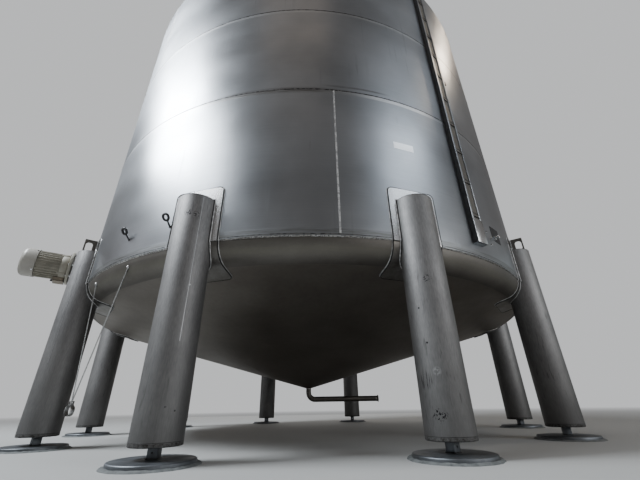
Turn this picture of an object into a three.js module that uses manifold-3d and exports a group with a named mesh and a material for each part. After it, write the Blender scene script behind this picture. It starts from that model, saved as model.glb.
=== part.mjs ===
import * as THREE from "three";
import { mergeVertices } from "three/addons/utils/BufferGeometryUtils.js";
import Module from "manifold-3d";

const wasm = await Module();
wasm.setup();

// Stainless storage tank on ten tube legs, in millimetres, +Z up.
// The origin lies on the floor, under the middle of the tank.
// A turn of 0 degrees faces -Y and grows towards +X.

// Shell: three courses of rolled plate, each of three plates
const shellRadius = 2533;
const plateThickness = 8;
const lapHeight = 1268;
const firstSeam = 2660;
const secondSeam = 3807;
const rimHeight = 5035;
const seamTurn = 4.8;
const platesRound = 3;
const roundSides = 60;
const gap = 0.3;

// Cone ends with a rolled knuckle, the same at the bottom and on the roof
const kneeRadius = 160;
const coneSlope = 0.2755;
const skirtInside = 40;
const kneeSteps = 4;

// Legs: closed tubes on the shell line, each on a doubler plate
const legCount = 10;
const firstLegTurn = 17.6;
const legRing = 2535;
const legRadius = 136.5;
const legBottom = 86;
const legTop = 1587;
const legSides = 18;
const padThickness = 8;
const padWidth = 388;
const padInner = 2285;
const padTop = 1697;
const padCorner = 34;

// Feet: a square spindle with a cross hole on a round plate
const footRadius = 218;
const footEdge = 12;
const footSides = 22;
const footHeight = 28;
const spindleSide = 55;

// Lifting lugs on the outer legs
const lugReach = 104;
const lugHeight = 150;
const lugThickness = 20;
const lugSink = 6;
const lugSlot = { width: 56, height: 96, reach: 62, rise: 76 };
const lugLegs = [1, 3, 6, 8];

// Cable duct up the shell, and the probe beside its foot
const ductTurn = seamTurn + (4.5 * 360) / roundSides;
const ductOffset = 8;
const ductWidth = 125;
const ductDepth = 45;
const ductSheet = 3;
const ductBottom = 1377;
const ductTop = 4990;
const probeTurn = 37.2;
const probeHeight = 1490;

// Hooks and the pipe hanger under the knuckle
const hookTurns = [-33.5, -23.4];
const hookHeight = 1440;
const hookReach = [-10, 45, 60];
const hookRingRadius = 27;
const hookWire = 6;
const hangerTurns = [-32.3, -44.7];
const hangerAngles = [21.9, 27.4];
const clampPlace = [-1829, -1556, 258];
const clampTurn = 27;
const clampBore = 35.5;
const clampWidth = 32;
const rodRadius = 5;

// Side agitator drive. Its axis is turned aside from the shell's radius, and its faces are
// measured along the axis from the shell.
const driveTurn = -69;
const driveAxisTurn = -58.2;
const driveHeight = 1632;
const driveSides = 28;
const driveFlangeRadius = 175;
const lipRadius = 165;
const nozzleRadius = 120;
const nozzleSink = 60;
const nozzleFlange = [48, 68];
const lanternRadius = 95;
const lanternWall = 20;
const lipThickness = 16;
const lanternEnd = 168;
const studRing = 152;
const studRadius = 12;
const studCount = 8;
const shaftRadius = 24;
const motorStart = 238;
const motorFlange = 22;
const bellStart = 266;
const bodyStart = 330;
const coverStart = 533;
const coverEnd = 661;
const bellRadius = 139;
const bodyRadius = 123;
const finReach = 14;
const finCount = 22;
const fanCoverRadius = 143.5;
const fanCoverRound = 44;
const terminalWidth = 112;
const terminalDrop = 32;
const terminalFaces = [268, 362];
const glandRadius = 11;
const glandLength = 22;

// Outlet at the bottom of the cone, and the roof fittings
const outletRadius = 30;
const outletWall = 3;
const outletHeight = 337;
const outletBend = 76;
const outletReach = 850;
const ferruleRadius = 39;
const manwayRadius = 235;
const manwayWall = 8;
const manwayTop = 5945;
const manwaySides = 30;
const lidRadius = 268;

const rad = THREE.MathUtils.degToRad;
const finish = (color, roughness, metalness) =>
  new THREE.MeshStandardMaterial({ color, roughness, metalness });
const brushed = finish(0xb4b6ba, 0.38, 1);
const dull = finish(0x8d8f93, 0.5, 1);
const dark = finish(0x2b2c2e, 0.55, 0.6);
const cream = finish(0xcfc8b4, 0.5, 0);

// A closed geometry as a solid, with its faces pointing out
function solid(geometry) {
  const bare = geometry.clone();
  bare.deleteAttribute("normal");
  bare.deleteAttribute("uv");
  const merged = mergeVertices(bare, 1e-3);
  const index = merged.index.array;
  const kept = [];
  for (let i = 0; i < index.length; i += 3) {
    const [a, b, c] = [index[i], index[i + 1], index[i + 2]];
    if (a !== b && b !== c && c !== a) kept.push(a, b, c);
  }
  const vertProperties = new Float32Array(merged.attributes.position.array);
  const make = (list) =>
    new wasm.Manifold(
      new wasm.Mesh({ numProp: 3, vertProperties, triVerts: new Uint32Array(list) }),
    );
  const made = make(kept);
  return made.volume() < 0 ? make(kept.reverse()) : made;
}

// A solid as a named mesh
function part(name, made, material) {
  const { vertProperties, triVerts } = made.getMesh();
  const geometry = new THREE.BufferGeometry();
  geometry.setAttribute("position", new THREE.BufferAttribute(vertProperties, 3));
  geometry.setIndex(new THREE.BufferAttribute(triVerts, 1));
  geometry.computeVertexNormals();
  const mesh = new THREE.Mesh(geometry, material);
  mesh.name = name;
  return mesh;
}

const joined = (...solids) => solids.reduce((whole, next) => whole.add(next));

// A profile of [radius, height] turned round the vertical axis, its first corner at the given turn
function turned(profile, turn = seamTurn, sides = roundSides) {
  const points = profile.map(([r, z]) => new THREE.Vector2(r, z));
  points.push(points[0].clone());
  const lathe = new THREE.LatheGeometry(points, sides, rad(turn), 2 * Math.PI);
  return solid(lathe.rotateX(Math.PI / 2));
}

// A flat outline extruded upwards from z = 0
const raised = (shape, height, curveSegments = 6) =>
  solid(new THREE.ExtrudeGeometry(shape, { depth: height, bevelEnabled: false, curveSegments }));

// An outline in x and z, extruded along -Y from y = -start
function outward(shape, start, length, curveSegments = 6) {
  const made = new THREE.ExtrudeGeometry(shape, { depth: length, bevelEnabled: false, curveSegments });
  return solid(made.rotateX(Math.PI / 2).translate(0, -start, 0));
}

function roundedOutline(width, height, corner) {
  const x = width / 2;
  const y = height / 2;
  const shape = new THREE.Shape();
  shape.moveTo(-x + corner, -y);
  shape.lineTo(x - corner, -y);
  shape.absarc(x - corner, -y + corner, corner, -Math.PI / 2, 0);
  shape.lineTo(x, y - corner);
  shape.absarc(x - corner, y - corner, corner, 0, Math.PI / 2);
  shape.lineTo(-x + corner, y);
  shape.absarc(-x + corner, y - corner, corner, Math.PI / 2, Math.PI);
  shape.lineTo(-x, -y + corner);
  shape.absarc(-x + corner, -y + corner, corner, Math.PI, 1.5 * Math.PI);
  return shape;
}

const circle = (radius, x = 0, y = 0) => new THREE.Shape().absarc(x, y, radius, 0, 2 * Math.PI);

// A disc or drum whose axis points along -Y
function drum(radius, from, to, sides = 24) {
  const made = new THREE.CylinderGeometry(radius, radius, to - from, sides);
  return solid(made.translate(0, -(from + to) / 2, 0));
}

// An upright drum at a place on the floor plan
function uprightDrum(radius, from, to, [x, y] = [0, 0], sides = 24) {
  const made = new THREE.CylinderGeometry(radius, radius, to - from, sides);
  return solid(made.rotateX(Math.PI / 2).translate(x, y, (from + to) / 2));
}

// A round bar between two points
function bar(from, to, radius, sides = 6) {
  const start = new THREE.Vector3(...from);
  const run = new THREE.Vector3(...to).sub(start);
  const made = new THREE.CylinderGeometry(radius, radius, run.length(), sides);
  made.translate(0, run.length() / 2, 0);
  const lean = new THREE.Quaternion().setFromUnitVectors(
    new THREE.Vector3(0, 1, 0),
    run.clone().normalize(),
  );
  made.applyQuaternion(lean);
  return solid(made.translate(start.x, start.y, start.z));
}

// Heads: a head's own height runs away from the tank, from the plane of its lap seam
const headRadius = shellRadius - plateThickness - gap;
const coneAngle = Math.atan(coneSlope);
const kneeCentre = headRadius - kneeRadius;
const coneFoot = {
  radius: kneeCentre + kneeRadius * Math.sin(coneAngle),
  height: kneeRadius * Math.cos(coneAngle),
};
const coneHeightAt = (radius) => coneFoot.height + (coneFoot.radius - radius) * coneSlope;

// The knuckle's arc, grown outwards by grow, from the lap to the cone
function kneeArc(grow) {
  const points = [];
  for (let i = 0; i <= kneeSteps; i += 1) {
    const angle = (i / kneeSteps) * (Math.PI / 2 - coneAngle);
    const reach = kneeRadius + grow;
    points.push([kneeCentre + reach * Math.cos(angle), reach * Math.sin(angle)]);
  }
  return points;
}

const kneeProfile = [
  [headRadius, -skirtInside],
  ...kneeArc(0),
  ...kneeArc(-plateThickness).reverse(),
  [headRadius - plateThickness, -skirtInside],
];

function coneProfile(holeRadius) {
  const back = gap * Math.cos(coneAngle);
  const edge = [coneFoot.radius - back, coneFoot.height + gap * Math.sin(coneAngle)];
  const inner = [
    edge[0] - plateThickness * Math.sin(coneAngle),
    edge[1] - plateThickness * Math.cos(coneAngle),
  ];
  const rise = plateThickness / Math.cos(coneAngle);
  return [
    edge,
    [holeRadius, coneHeightAt(holeRadius)],
    [holeRadius, coneHeightAt(holeRadius) - rise],
    inner,
  ];
}

const below = (profile) => profile.map(([r, h]) => [r, lapHeight - h]);
const above = (profile) => profile.map(([r, h]) => [r, rimHeight + h]);

// The tank's outer skin grown by grow, from the rim down to the tip of the cone
function skin(grow) {
  return [
    [shellRadius + grow, rimHeight],
    [shellRadius + grow, lapHeight - grow],
    ...below(kneeArc(grow)).slice(1),
    [0, lapHeight - coneHeightAt(0) - grow / Math.cos(coneAngle)],
  ];
}

function envelope(grow, turn) {
  const roof = above(kneeArc(grow)).reverse();
  const peak = rimHeight + coneHeightAt(0) + grow / Math.cos(coneAngle);
  return turned([[0, peak], ...roof, ...skin(grow)], turn);
}

// Shell plates: sectors of a ring, raised between two seams
function shellPlate(fromTurn, bottom, top) {
  const span = 360 / platesRound;
  const sides = roundSides / platesRound;
  const trim = THREE.MathUtils.radToDeg(gap / 2 / shellRadius);
  const turns = [];
  for (let i = 0; i <= sides; i += 1) turns.push(fromTurn + (i / sides) * span);
  turns[0] += trim;
  turns[sides] -= trim;
  const corner = (radius) => (turn) =>
    new THREE.Vector2(radius * Math.sin(rad(turn)), -radius * Math.cos(rad(turn)));
  const outer = turns.map(corner(shellRadius));
  const inner = turns.map(corner(shellRadius - plateThickness)).reverse();
  const made = raised(new THREE.Shape([...outer, ...inner]), top - bottom - gap);
  return made.translate(0, 0, bottom + gap / 2);
}

const courses = [
  { name: "lower", bottom: lapHeight, top: firstSeam, turn: seamTurn },
  { name: "middle", bottom: firstSeam, top: secondSeam, turn: seamTurn + 48 },
  { name: "upper", bottom: secondSeam, top: rimHeight, turn: seamTurn + 72 },
];

const tank = new THREE.Group();

for (const course of courses) {
  for (let i = 0; i < platesRound; i += 1) {
    const made = shellPlate(course.turn + (i * 360) / platesRound, course.bottom, course.top);
    tank.add(part(`shell_${course.name}_plate_${i + 1}`, made, brushed));
  }
}

const outletHole = outletRadius + gap;
tank.add(part("bottom_knuckle", turned(below(kneeProfile)), dull));
tank.add(part("bottom_cone", turned(below(coneProfile(outletHole))), dull));
tank.add(part("roof_knuckle", turned(above(kneeProfile)), brushed));

// Legs are made facing -Y, then turned to their places. The facets of the tank turn with them.
const legFacets = seamTurn - firstLegTurn;

function padBand() {
  const outer = skin(gap + padThickness);
  const inner = skin(gap).reverse();
  return turned([...outer, ...inner], legFacets);
}

// The pad's outline is cut from the band: its top seen from the front, its foot from below
function legWithPad() {
  const tall = 2 * (padTop - lapHeight);
  const front = outward(roundedOutline(padWidth, tall, padCorner), 0, 1.1 * shellRadius);
  const deep = 2 * (shellRadius - padInner);
  const plan = raised(roundedOutline(padWidth, deep, padCorner), padTop + 1);
  const pad = padBand()
    .intersect(front.translate(0, 0, lapHeight))
    .intersect(plan.translate(0, -shellRadius, 0));
  const tube = uprightDrum(legRadius, legBottom, legTop, [0, -legRing], legSides);
  return joined(pad, tube.subtract(envelope(gap + padThickness / 2, legFacets)));
}

// The lug stands on the leg's flat top and against the pad, and has a tall slot
function liftingLug() {
  const face = shellRadius + padThickness;
  const plate = (outline, thickness) => {
    const settings = { depth: thickness, bevelEnabled: false, curveSegments: 5 };
    const made = new THREE.ExtrudeGeometry(outline, settings);
    made.translate(0, 0, -thickness / 2).rotateX(Math.PI / 2).rotateZ(-Math.PI / 2);
    return solid(made);
  };
  const width = lugReach + lugSink;
  const height = lugHeight + lugSink;
  const body = plate(roundedOutline(width, height, lugSink), lugThickness);
  const slot = plate(roundedOutline(lugSlot.width, lugSlot.height, 0.4 * lugSlot.width), 2 * lugThickness);
  return body
    .translate(0, -face - lugReach / 2 + lugSink / 2, legTop + (lugHeight - lugSink) / 2)
    .subtract(slot.translate(0, -face - lugSlot.reach, legTop + lugSlot.rise));
}

function foot() {
  const profile = [
    [0, 0],
    [footRadius, 0],
    [footRadius, footEdge],
    [footRadius - footEdge, footHeight],
    [0, footHeight],
  ];
  const plate = turned(profile, 0, footSides).translate(0, -legRing, 0);
  const height = legBottom - gap - footHeight / 2;
  const block = new THREE.BoxGeometry(spindleSide, spindleSide, height);
  const spindle = solid(block.translate(0, -legRing, footHeight / 2 + height / 2));
  return joined(plate, spindle);
}

const plainLeg = legWithPad();
const lugLeg = joined(plainLeg, liftingLug());
const footShape = foot();
for (let i = 0; i < legCount; i += 1) {
  const bay = new THREE.Group();
  bay.rotation.z = rad(firstLegTurn + (i * 360) / legCount);
  const number = String(i + 1).padStart(2, "0");
  const legShape = lugLegs.includes(i) ? lugLeg : plainLeg;
  bay.add(part(`leg_${number}`, legShape, brushed));
  bay.add(part(`foot_${number}`, footShape, dull));
  tank.add(bay);
}

// Cable duct: a channel on one flat of the shell, open towards the shell
function cableDuct() {
  const flat = shellRadius * Math.cos(Math.PI / roundSides) + gap;
  const x = ductWidth / 2;
  const outline = new THREE.Shape([
    new THREE.Vector2(-x, -flat),
    new THREE.Vector2(-x, -flat - ductDepth),
    new THREE.Vector2(x, -flat - ductDepth),
    new THREE.Vector2(x, -flat),
    new THREE.Vector2(x - ductSheet, -flat),
    new THREE.Vector2(x - ductSheet, -flat - ductDepth + ductSheet),
    new THREE.Vector2(-x + ductSheet, -flat - ductDepth + ductSheet),
    new THREE.Vector2(-x + ductSheet, -flat),
  ]);
  const channel = raised(outline, ductTop - ductBottom);
  const sole = new THREE.BoxGeometry(ductWidth, ductDepth, ductSheet);
  const closed = solid(sole.translate(0, -flat - ductDepth / 2, ductSheet / 2));
  return joined(channel, closed).translate(ductOffset, 0, ductBottom);
}

const ductPlace = new THREE.Group();
ductPlace.rotation.z = rad(ductTurn);
ductPlace.add(part("cable_duct", cableDuct(), brushed));
tank.add(ductPlace);

// Pieces that sit on the shell at any turn are cut back to the skin
const seated = (made, turn) => made.subtract(envelope(gap, seamTurn - turn));

function probe() {
  const boss = drum(15, shellRadius - 20, shellRadius + 28, 14);
  const hexagon = drum(20, shellRadius + 28, shellRadius + 46, 6);
  const head = drum(12, shellRadius + 46, shellRadius + 74, 12);
  return seated(joined(boss, hexagon, head).translate(0, 0, probeHeight), probeTurn);
}

const probePlace = new THREE.Group();
probePlace.rotation.z = rad(probeTurn);
probePlace.add(part("temperature_probe", probe(), dull));
tank.add(probePlace);

// Hook: a bar from the shell that ends in a ring, with the ring in the bar's leaning plane
function hook(turn) {
  const [aside, out, up] = hookReach;
  const length = Math.hypot(out, up);
  const lean = Math.atan2(up, out);
  const ring = new THREE.TorusGeometry(hookRingRadius, hookWire, 6, 14);
  ring.rotateX(-lean).translate(aside, -shellRadius - out, hookHeight + up);
  const share = 1 - hookRingRadius / length;
  const ringFoot = [aside * share, -shellRadius - out * share, hookHeight + up * share];
  const stem = bar([0, -shellRadius + 15, hookHeight - 15 * Math.tan(lean)], ringFoot, hookWire);
  return seated(joined(solid(ring), stem), turn);
}

hookTurns.forEach((turn, i) => {
  const place = new THREE.Group();
  place.rotation.z = rad(turn);
  place.add(part(`shell_hook_${i + 1}`, hook(turn), dark));
  tank.add(place);
});

// Pipe hanger: two rods from the knuckle to one split ring
function pipeHanger() {
  const [x, y, z] = clampPlace;
  const band = new THREE.Shape().absarc(0, 0, clampBore + 4, 0, 2 * Math.PI);
  band.holes.push(circle(clampBore));
  const ring = outward(band, -clampWidth / 2, clampWidth, 8);
  const ear = solid(new THREE.BoxGeometry(24, clampWidth, 26).translate(0, 0, clampBore + 14));
  const clamp = joined(ring, ear).rotate(0, 0, -clampTurn).translate(x, y, z);
  const earTop = [x, y, z + clampBore + 16];
  let whole = clamp;
  hangerTurns.forEach((turn, i) => {
    const angle = rad(hangerAngles[i]);
    const reach = kneeCentre + kneeRadius * Math.cos(angle);
    const height = lapHeight - kneeRadius * Math.sin(angle);
    const top = [reach * Math.sin(rad(turn)), -reach * Math.cos(rad(turn)), height];
    const knob = new THREE.SphereGeometry(12, 8, 6).translate(...top);
    whole = joined(whole, bar(earTop, top, rodRadius), solid(knob));
  });
  return whole.subtract(envelope(gap, seamTurn));
}

tank.add(part("pipe_hanger", pipeHanger(), dull));

// Agitator drive: nozzle on the shell, lantern with studs, flanged motor.
// Its pieces are made along -Y from the point where their axis meets the shell.
const driveSpot = [
  shellRadius * Math.sin(rad(driveTurn)),
  -shellRadius * Math.cos(rad(driveTurn)),
  driveHeight,
];

function shellNozzle() {
  const [near, far] = nozzleFlange;
  const neck = drum(nozzleRadius, -nozzleSink, near + 1, driveSides);
  const flange = drum(lipRadius, near, far - gap, driveSides);
  const placed = joined(neck, flange).rotate(0, 0, driveAxisTurn).translate(...driveSpot);
  return placed.subtract(envelope(gap, seamTurn));
}

function lantern() {
  const start = nozzleFlange[1];
  const inner = start + lipThickness;
  const outer = lanternEnd - lipThickness;
  const tube = drum(lanternRadius, start, lanternEnd, 20);
  const bore = drum(lanternRadius - lanternWall, inner, outer, 20);
  const windowLength = outer - inner - lipThickness;
  const window = new THREE.BoxGeometry(3 * lanternRadius, windowLength, 0.9 * lanternRadius);
  window.translate(0, -(inner + outer) / 2, 0);
  const across = solid(window);
  const upright = solid(window.clone().rotateY(Math.PI / 2));
  const cage = tube.subtract(bore).subtract(across).subtract(upright);
  const lips = joined(
    drum(lipRadius, start, inner, driveSides),
    drum(lipRadius, outer, lanternEnd, driveSides),
  );
  let whole = joined(cage, lips, drum(shaftRadius, start, motorStart - gap, 12));
  for (let i = 0; i < studCount; i += 1) {
    const angle = (i / studCount) * 2 * Math.PI;
    const stud = drum(studRadius, lanternEnd - 1, motorStart - gap, 8);
    const place = [studRing * Math.cos(angle), 0, studRing * Math.sin(angle)];
    whole = joined(whole, stud.translate(...place));
  }
  return whole;
}

// Motor: a flanged end bell and a barrel with fins along it, cast in one
function motorBody() {
  const flange = drum(driveFlangeRadius, motorStart, motorStart + motorFlange, driveSides);
  const neck = drum(bellRadius - 4, motorStart + motorFlange - 1, bellStart + 1, driveSides);
  const bell = drum(bellRadius, bellStart, bodyStart, driveSides);
  const outline = new THREE.Shape();
  const half = 0.3 / finCount;
  for (let i = 0; i < finCount; i += 1) {
    const middle = i / finCount;
    const at = (share, radius) => {
      const angle = 2 * Math.PI * share;
      return [radius * Math.cos(angle), radius * Math.sin(angle)];
    };
    const points = [
      at(middle - half, bodyRadius),
      at(middle - half * 0.6, bodyRadius + finReach),
      at(middle + half * 0.6, bodyRadius + finReach),
      at(middle + half, bodyRadius),
    ];
    points.forEach((point, j) => {
      if (i === 0 && j === 0) outline.moveTo(...point);
      else outline.lineTo(...point);
    });
  }
  const start = bodyStart - 2;
  return joined(flange, neck, bell, outward(outline, start, coverStart - gap - start));
}

function fanCover() {
  const points = [new THREE.Vector2(0, coverStart), new THREE.Vector2(fanCoverRadius, coverStart)];
  for (let i = 0; i <= 4; i += 1) {
    const angle = (i / 4) * (Math.PI / 2);
    const reach = fanCoverRadius - fanCoverRound * (1 - Math.cos(angle));
    points.push(new THREE.Vector2(reach, coverEnd - fanCoverRound * (1 - Math.sin(angle))));
  }
  points.push(new THREE.Vector2(0, coverEnd));
  return solid(new THREE.LatheGeometry(points, driveSides).rotateX(Math.PI));
}

// A flat box saddled under the end bell, with a cable gland at its outer end
function terminalBox() {
  const [near, far] = terminalFaces;
  const outline = roundedOutline(terminalWidth, 2 * terminalDrop, 6);
  const box = outward(outline, near, far - near, 2).translate(0, 0, -bellRadius);
  const gland = drum(glandRadius, far - 1, far + glandLength, 10);
  const saddle = drum(bellRadius + gap / Math.cos(Math.PI / driveSides), 0, coverEnd, driveSides);
  return joined(box, gland.translate(0, 0, -bellRadius - terminalDrop / 2)).subtract(saddle);
}

tank.add(part("agitator_shell_flange", shellNozzle(), dull));
const drive = new THREE.Group();
drive.position.set(...driveSpot);
drive.rotation.z = rad(driveAxisTurn);
drive.add(part("agitator_lantern", lantern(), dark));
drive.add(part("motor_body", motorBody(), cream));
drive.add(part("motor_fan_cover", fanCover(), cream));
drive.add(part("motor_terminal_box", terminalBox(), cream));
tank.add(drive);

// Outlet: a bend from the tip of the cone to a level pipe with a ferrule at its end
function outletPipe() {
  const wallRing = circle(outletRadius);
  wallRing.holes.push(circle(outletRadius - outletWall));
  const top = lapHeight - coneHeightAt(outletRadius) + 4;
  const drop = raised(wallRing, top - outletHeight - outletBend + 1, 8);
  const v = (x, z) => new THREE.Vector3(x, 0, z);
  const corner = 0.5523 * outletBend;
  const bend = new THREE.CubicBezierCurve3(
    v(0, outletHeight + outletBend),
    v(0, outletHeight + outletBend - corner),
    v(outletBend - corner, outletHeight),
    v(outletBend, outletHeight),
  );
  const sweep = { steps: 6, extrudePath: bend, curveSegments: 8 };
  const elbow = solid(new THREE.ExtrudeGeometry(wallRing, sweep));
  const run = raised(wallRing, outletReach - outletBend + 1, 8).rotate(0, 90, 0);
  const collar = circle(ferruleRadius);
  collar.holes.push(circle(outletRadius - 1));
  const ferrule = raised(collar, 8, 8).rotate(0, 90, 0);
  return joined(
    drop.translate(0, 0, outletHeight + outletBend - 1),
    elbow,
    run.translate(outletBend - 1, 0, outletHeight),
    ferrule.translate(outletReach - 8, 0, outletHeight),
  );
}

tank.add(part("outlet_pipe", outletPipe(), dull));

// Roof cone with its manway neck
function roofCone() {
  const inner = manwayRadius - manwayWall;
  const cone = turned(above(coneProfile(manwayRadius - 2)));
  const bottom = rimHeight + coneHeightAt(manwayRadius) - 30;
  const neck = turned(
    [
      [manwayRadius, bottom],
      [manwayRadius, manwayTop - 14],
      [manwayRadius + 30, manwayTop - 14],
      [manwayRadius + 30, manwayTop],
      [inner, manwayTop],
      [inner, bottom],
    ],
    seamTurn,
    manwaySides,
  );
  return joined(cone, neck);
}

function manwayLid() {
  const rise = 44;
  const thickness = 6;
  const edge = manwayTop + gap;
  const steps = 3;
  const outer = [];
  const inner = [];
  for (let i = 0; i <= steps; i += 1) {
    const share = i / steps;
    const height = edge + 12 + rise * (1 - share * share);
    outer.push([share * (lidRadius - 20), height]);
    inner.push([share * (lidRadius - 40), height - thickness]);
  }
  const rim = [[lidRadius, edge + 12], [lidRadius, edge]];
  const profile = [...outer, ...rim, [lidRadius - 40, edge], ...inner.reverse()];
  return turned(profile, seamTurn, manwaySides);
}

tank.add(part("roof_cone", roofCone(), brushed));
tank.add(part("manway_lid", manwayLid(), brushed));

export default tank;
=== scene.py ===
from math import acos, atan, atan2, cos, degrees, hypot, pi, radians, sin, sqrt

import bmesh
import bpy
from mathutils import Matrix, Vector, noise


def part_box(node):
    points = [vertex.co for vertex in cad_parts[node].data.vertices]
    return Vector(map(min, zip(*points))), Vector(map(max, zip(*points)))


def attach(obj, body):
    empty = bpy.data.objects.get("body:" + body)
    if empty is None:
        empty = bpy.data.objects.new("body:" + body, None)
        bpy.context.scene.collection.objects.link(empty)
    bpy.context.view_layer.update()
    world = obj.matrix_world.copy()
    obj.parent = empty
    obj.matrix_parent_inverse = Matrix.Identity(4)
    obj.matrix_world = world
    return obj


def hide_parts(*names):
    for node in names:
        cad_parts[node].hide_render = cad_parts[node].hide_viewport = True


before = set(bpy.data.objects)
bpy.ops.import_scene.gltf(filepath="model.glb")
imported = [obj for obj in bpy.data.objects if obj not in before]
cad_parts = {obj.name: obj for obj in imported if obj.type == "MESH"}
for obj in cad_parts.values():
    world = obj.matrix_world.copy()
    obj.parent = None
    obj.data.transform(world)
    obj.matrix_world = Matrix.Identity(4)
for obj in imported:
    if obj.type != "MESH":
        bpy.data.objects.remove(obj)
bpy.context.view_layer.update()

# Sizes that several pieces share, in metres and degrees. The tank's front faces -Y,
# and a turn grows towards +X.
tank = {
    "radius": 2.533,
    "wall": 0.008,
    "gap": 0.0003,
    "kneeRadius": 0.160,  # the rolled knuckle of either end
    "coneSlope": 0.2755,
    "skirt": 0.040,  # how far a head's skirt reaches inside the shell
    "steps": 180,  # faces round a full turn
    "plateTurn": 119.99,  # a hair under a third of a turn, so that plates don't touch
}
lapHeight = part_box("shell_lower_plate_1")[0].z
seamHeights = [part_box("shell_middle_plate_1")[0].z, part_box("shell_upper_plate_1")[0].z]
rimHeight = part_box("shell_upper_plate_1")[1].z
legTurns = [17.6 + 36 * i for i in range(10)]

tankRadius = tank["radius"]
headRadius = tankRadius - tank["wall"] - tank["gap"]
kneeCentre = headRadius - tank["kneeRadius"]
coneAngle = atan(tank["coneSlope"])
coneFootRadius = kneeCentre + tank["kneeRadius"] * sin(coneAngle)
coneFootHeight = tank["kneeRadius"] * cos(coneAngle)


# Making and placing shapes
def turnMatrix(turn, axis="Z"):
    return Matrix.Rotation(radians(turn), 4, axis)


def newObject(name, data):
    item = bpy.data.objects.new(name, data)
    bpy.context.scene.collection.objects.link(item)
    return item


def meshFrom(bm, name="shape"):
    mesh = bpy.data.meshes.new(name)
    bm.to_mesh(mesh)
    bm.free()
    return mesh


def moved(bm, x=0, y=0, z=0):
    bmesh.ops.translate(bm, verts=bm.verts, vec=(x, y, z))
    return bm


def placed(bm, matrix):
    bmesh.ops.transform(bm, matrix=matrix, verts=bm.verts)
    return bm


def rotated(bm, turn, axis):
    return placed(bm, turnMatrix(turn, axis))


def joinInto(bm, *others):
    for other in others:
        mesh = meshFrom(other)
        bm.from_mesh(mesh)
        bpy.data.meshes.remove(mesh)
    return bm


# Copies of a shape at even turns about the upright axis
def fanned(bm, count, start=0):
    whole = bmesh.new()
    for i in range(count):
        joinInto(whole, rotated(bm.copy(), start + 360 * i / count, "Z"))
    bm.free()
    return whole


# Copies of a shape on a circle, none of them turned
def ringed(bm, radius, count):
    whole = bmesh.new()
    for x, y in circle(0, 0, radius, count):
        joinInto(whole, moved(bm.copy(), x, y))
    bm.free()
    return whole


def outline(bm, points, closed):
    verts = [bm.verts.new(point) for point in points]
    edges = [bm.edges.new(pair) for pair in zip(verts, verts[1:])]
    if closed:
        edges.append(bm.edges.new((verts[-1], verts[0])))
    return verts, edges


# A profile of (radius, height) turned about the upright axis. It starts at fromTurn.
def turned(profile, steps, closed=False, fromTurn=0, span=360):
    bm = bmesh.new()
    verts, edges = outline(bm, [(0, -radius, height) for radius, height in profile], closed)
    start = Matrix.Rotation(radians(fromTurn), 3, "Z")
    bmesh.ops.rotate(bm, verts=verts, cent=(0, 0, 0), matrix=start)
    bmesh.ops.spin(
        bm, geom=verts + edges, cent=(0, 0, 0), axis=(0, 0, 1),
        angle=radians(span), steps=steps, use_merge=span == 360,
    )
    bmesh.ops.remove_doubles(bm, verts=bm.verts, dist=1e-6)
    if span < 360:
        bmesh.ops.holes_fill(bm, edges=[edge for edge in bm.edges if edge.is_boundary])
    bmesh.ops.recalc_face_normals(bm, faces=bm.faces)
    return bm


# A flat outline in XY raised from one height to another
def prism(points, low, high):
    bm = bmesh.new()
    edges = outline(bm, [(x, y, low) for x, y in points], True)[1]
    faces = bmesh.ops.contextual_create(bm, geom=edges)["faces"]
    made = bmesh.ops.extrude_face_region(bm, geom=faces, use_keep_orig=True)["geom"]
    top = [item for item in made if isinstance(item, bmesh.types.BMVert)]
    bmesh.ops.translate(bm, verts=top, vec=(0, 0, high - low))
    bmesh.ops.recalc_face_normals(bm, faces=bm.faces)
    return bm


def bevelAll(bm, offset, segments=2, angle=40):
    sharp = [
        edge for edge in bm.edges
        if len(edge.link_faces) == 2 and edge.calc_face_angle() > radians(angle)
    ]
    bmesh.ops.bevel(
        bm, geom=sharp, offset=offset, segments=segments, affect="EDGES",
        profile=0.5, material=-1, clamp_overlap=True,
    )
    return bm


def block(x, y, z, bevel=0.0, segments=2):
    bm = bmesh.new()
    bmesh.ops.create_cube(bm, size=1)
    bmesh.ops.scale(bm, verts=bm.verts, vec=(x, y, z))
    return bevelAll(bm, bevel, segments) if bevel else bm


# Points of an arc, from one angle to another, in degrees
def arc(x, y, radius, start, stop, steps):
    points = []
    for i in range(steps + 1):
        angle = radians(start + (stop - start) * i / steps)
        points.append((x + radius * cos(angle), y + radius * sin(angle)))
    return points


def circle(x, y, radius, steps):
    return arc(x, y, radius, 0, 360, steps)[:-1]


def roundedBox(x0, y0, x1, y1, corner, steps=6):
    return (
        arc(x1 - corner, y1 - corner, corner, 0, 90, steps)
        + arc(x0 + corner, y1 - corner, corner, 90, 180, steps)
        + arc(x0 + corner, y0 + corner, corner, 180, 270, steps)
        + arc(x1 - corner, y0 + corner, corner, 270, 360, steps)
    )


# The profile of a ring or tube
def wallProfile(inside, outside, low, high):
    return [(inside, low), (outside, low), (outside, high), (inside, high)]


def drum(radius, fromZ, toZ, edge=0.0, steps=40):
    profile = [(0, fromZ), (radius - edge, fromZ)]
    if edge:
        profile += arc(radius - edge, fromZ + edge, edge, -90, 0, 4)[1:]
        profile += arc(radius - edge, toZ - edge, edge, 0, 90, 4)
    else:
        profile += [(radius, fromZ), (radius, toZ)]
    return turned(profile + [(0, toZ)], steps)


def meshOfCurve(curve):
    holder = bpy.data.objects.new("line", curve)
    mesh = bpy.data.meshes.new_from_object(holder)
    bm = bmesh.new()
    bm.from_mesh(mesh)
    bpy.data.objects.remove(holder)
    bpy.data.curves.remove(curve)
    bpy.data.meshes.remove(mesh)
    bmesh.ops.remove_doubles(bm, verts=bm.verts, dist=1e-6)
    bmesh.ops.recalc_face_normals(bm, faces=bm.faces)
    return bm


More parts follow.
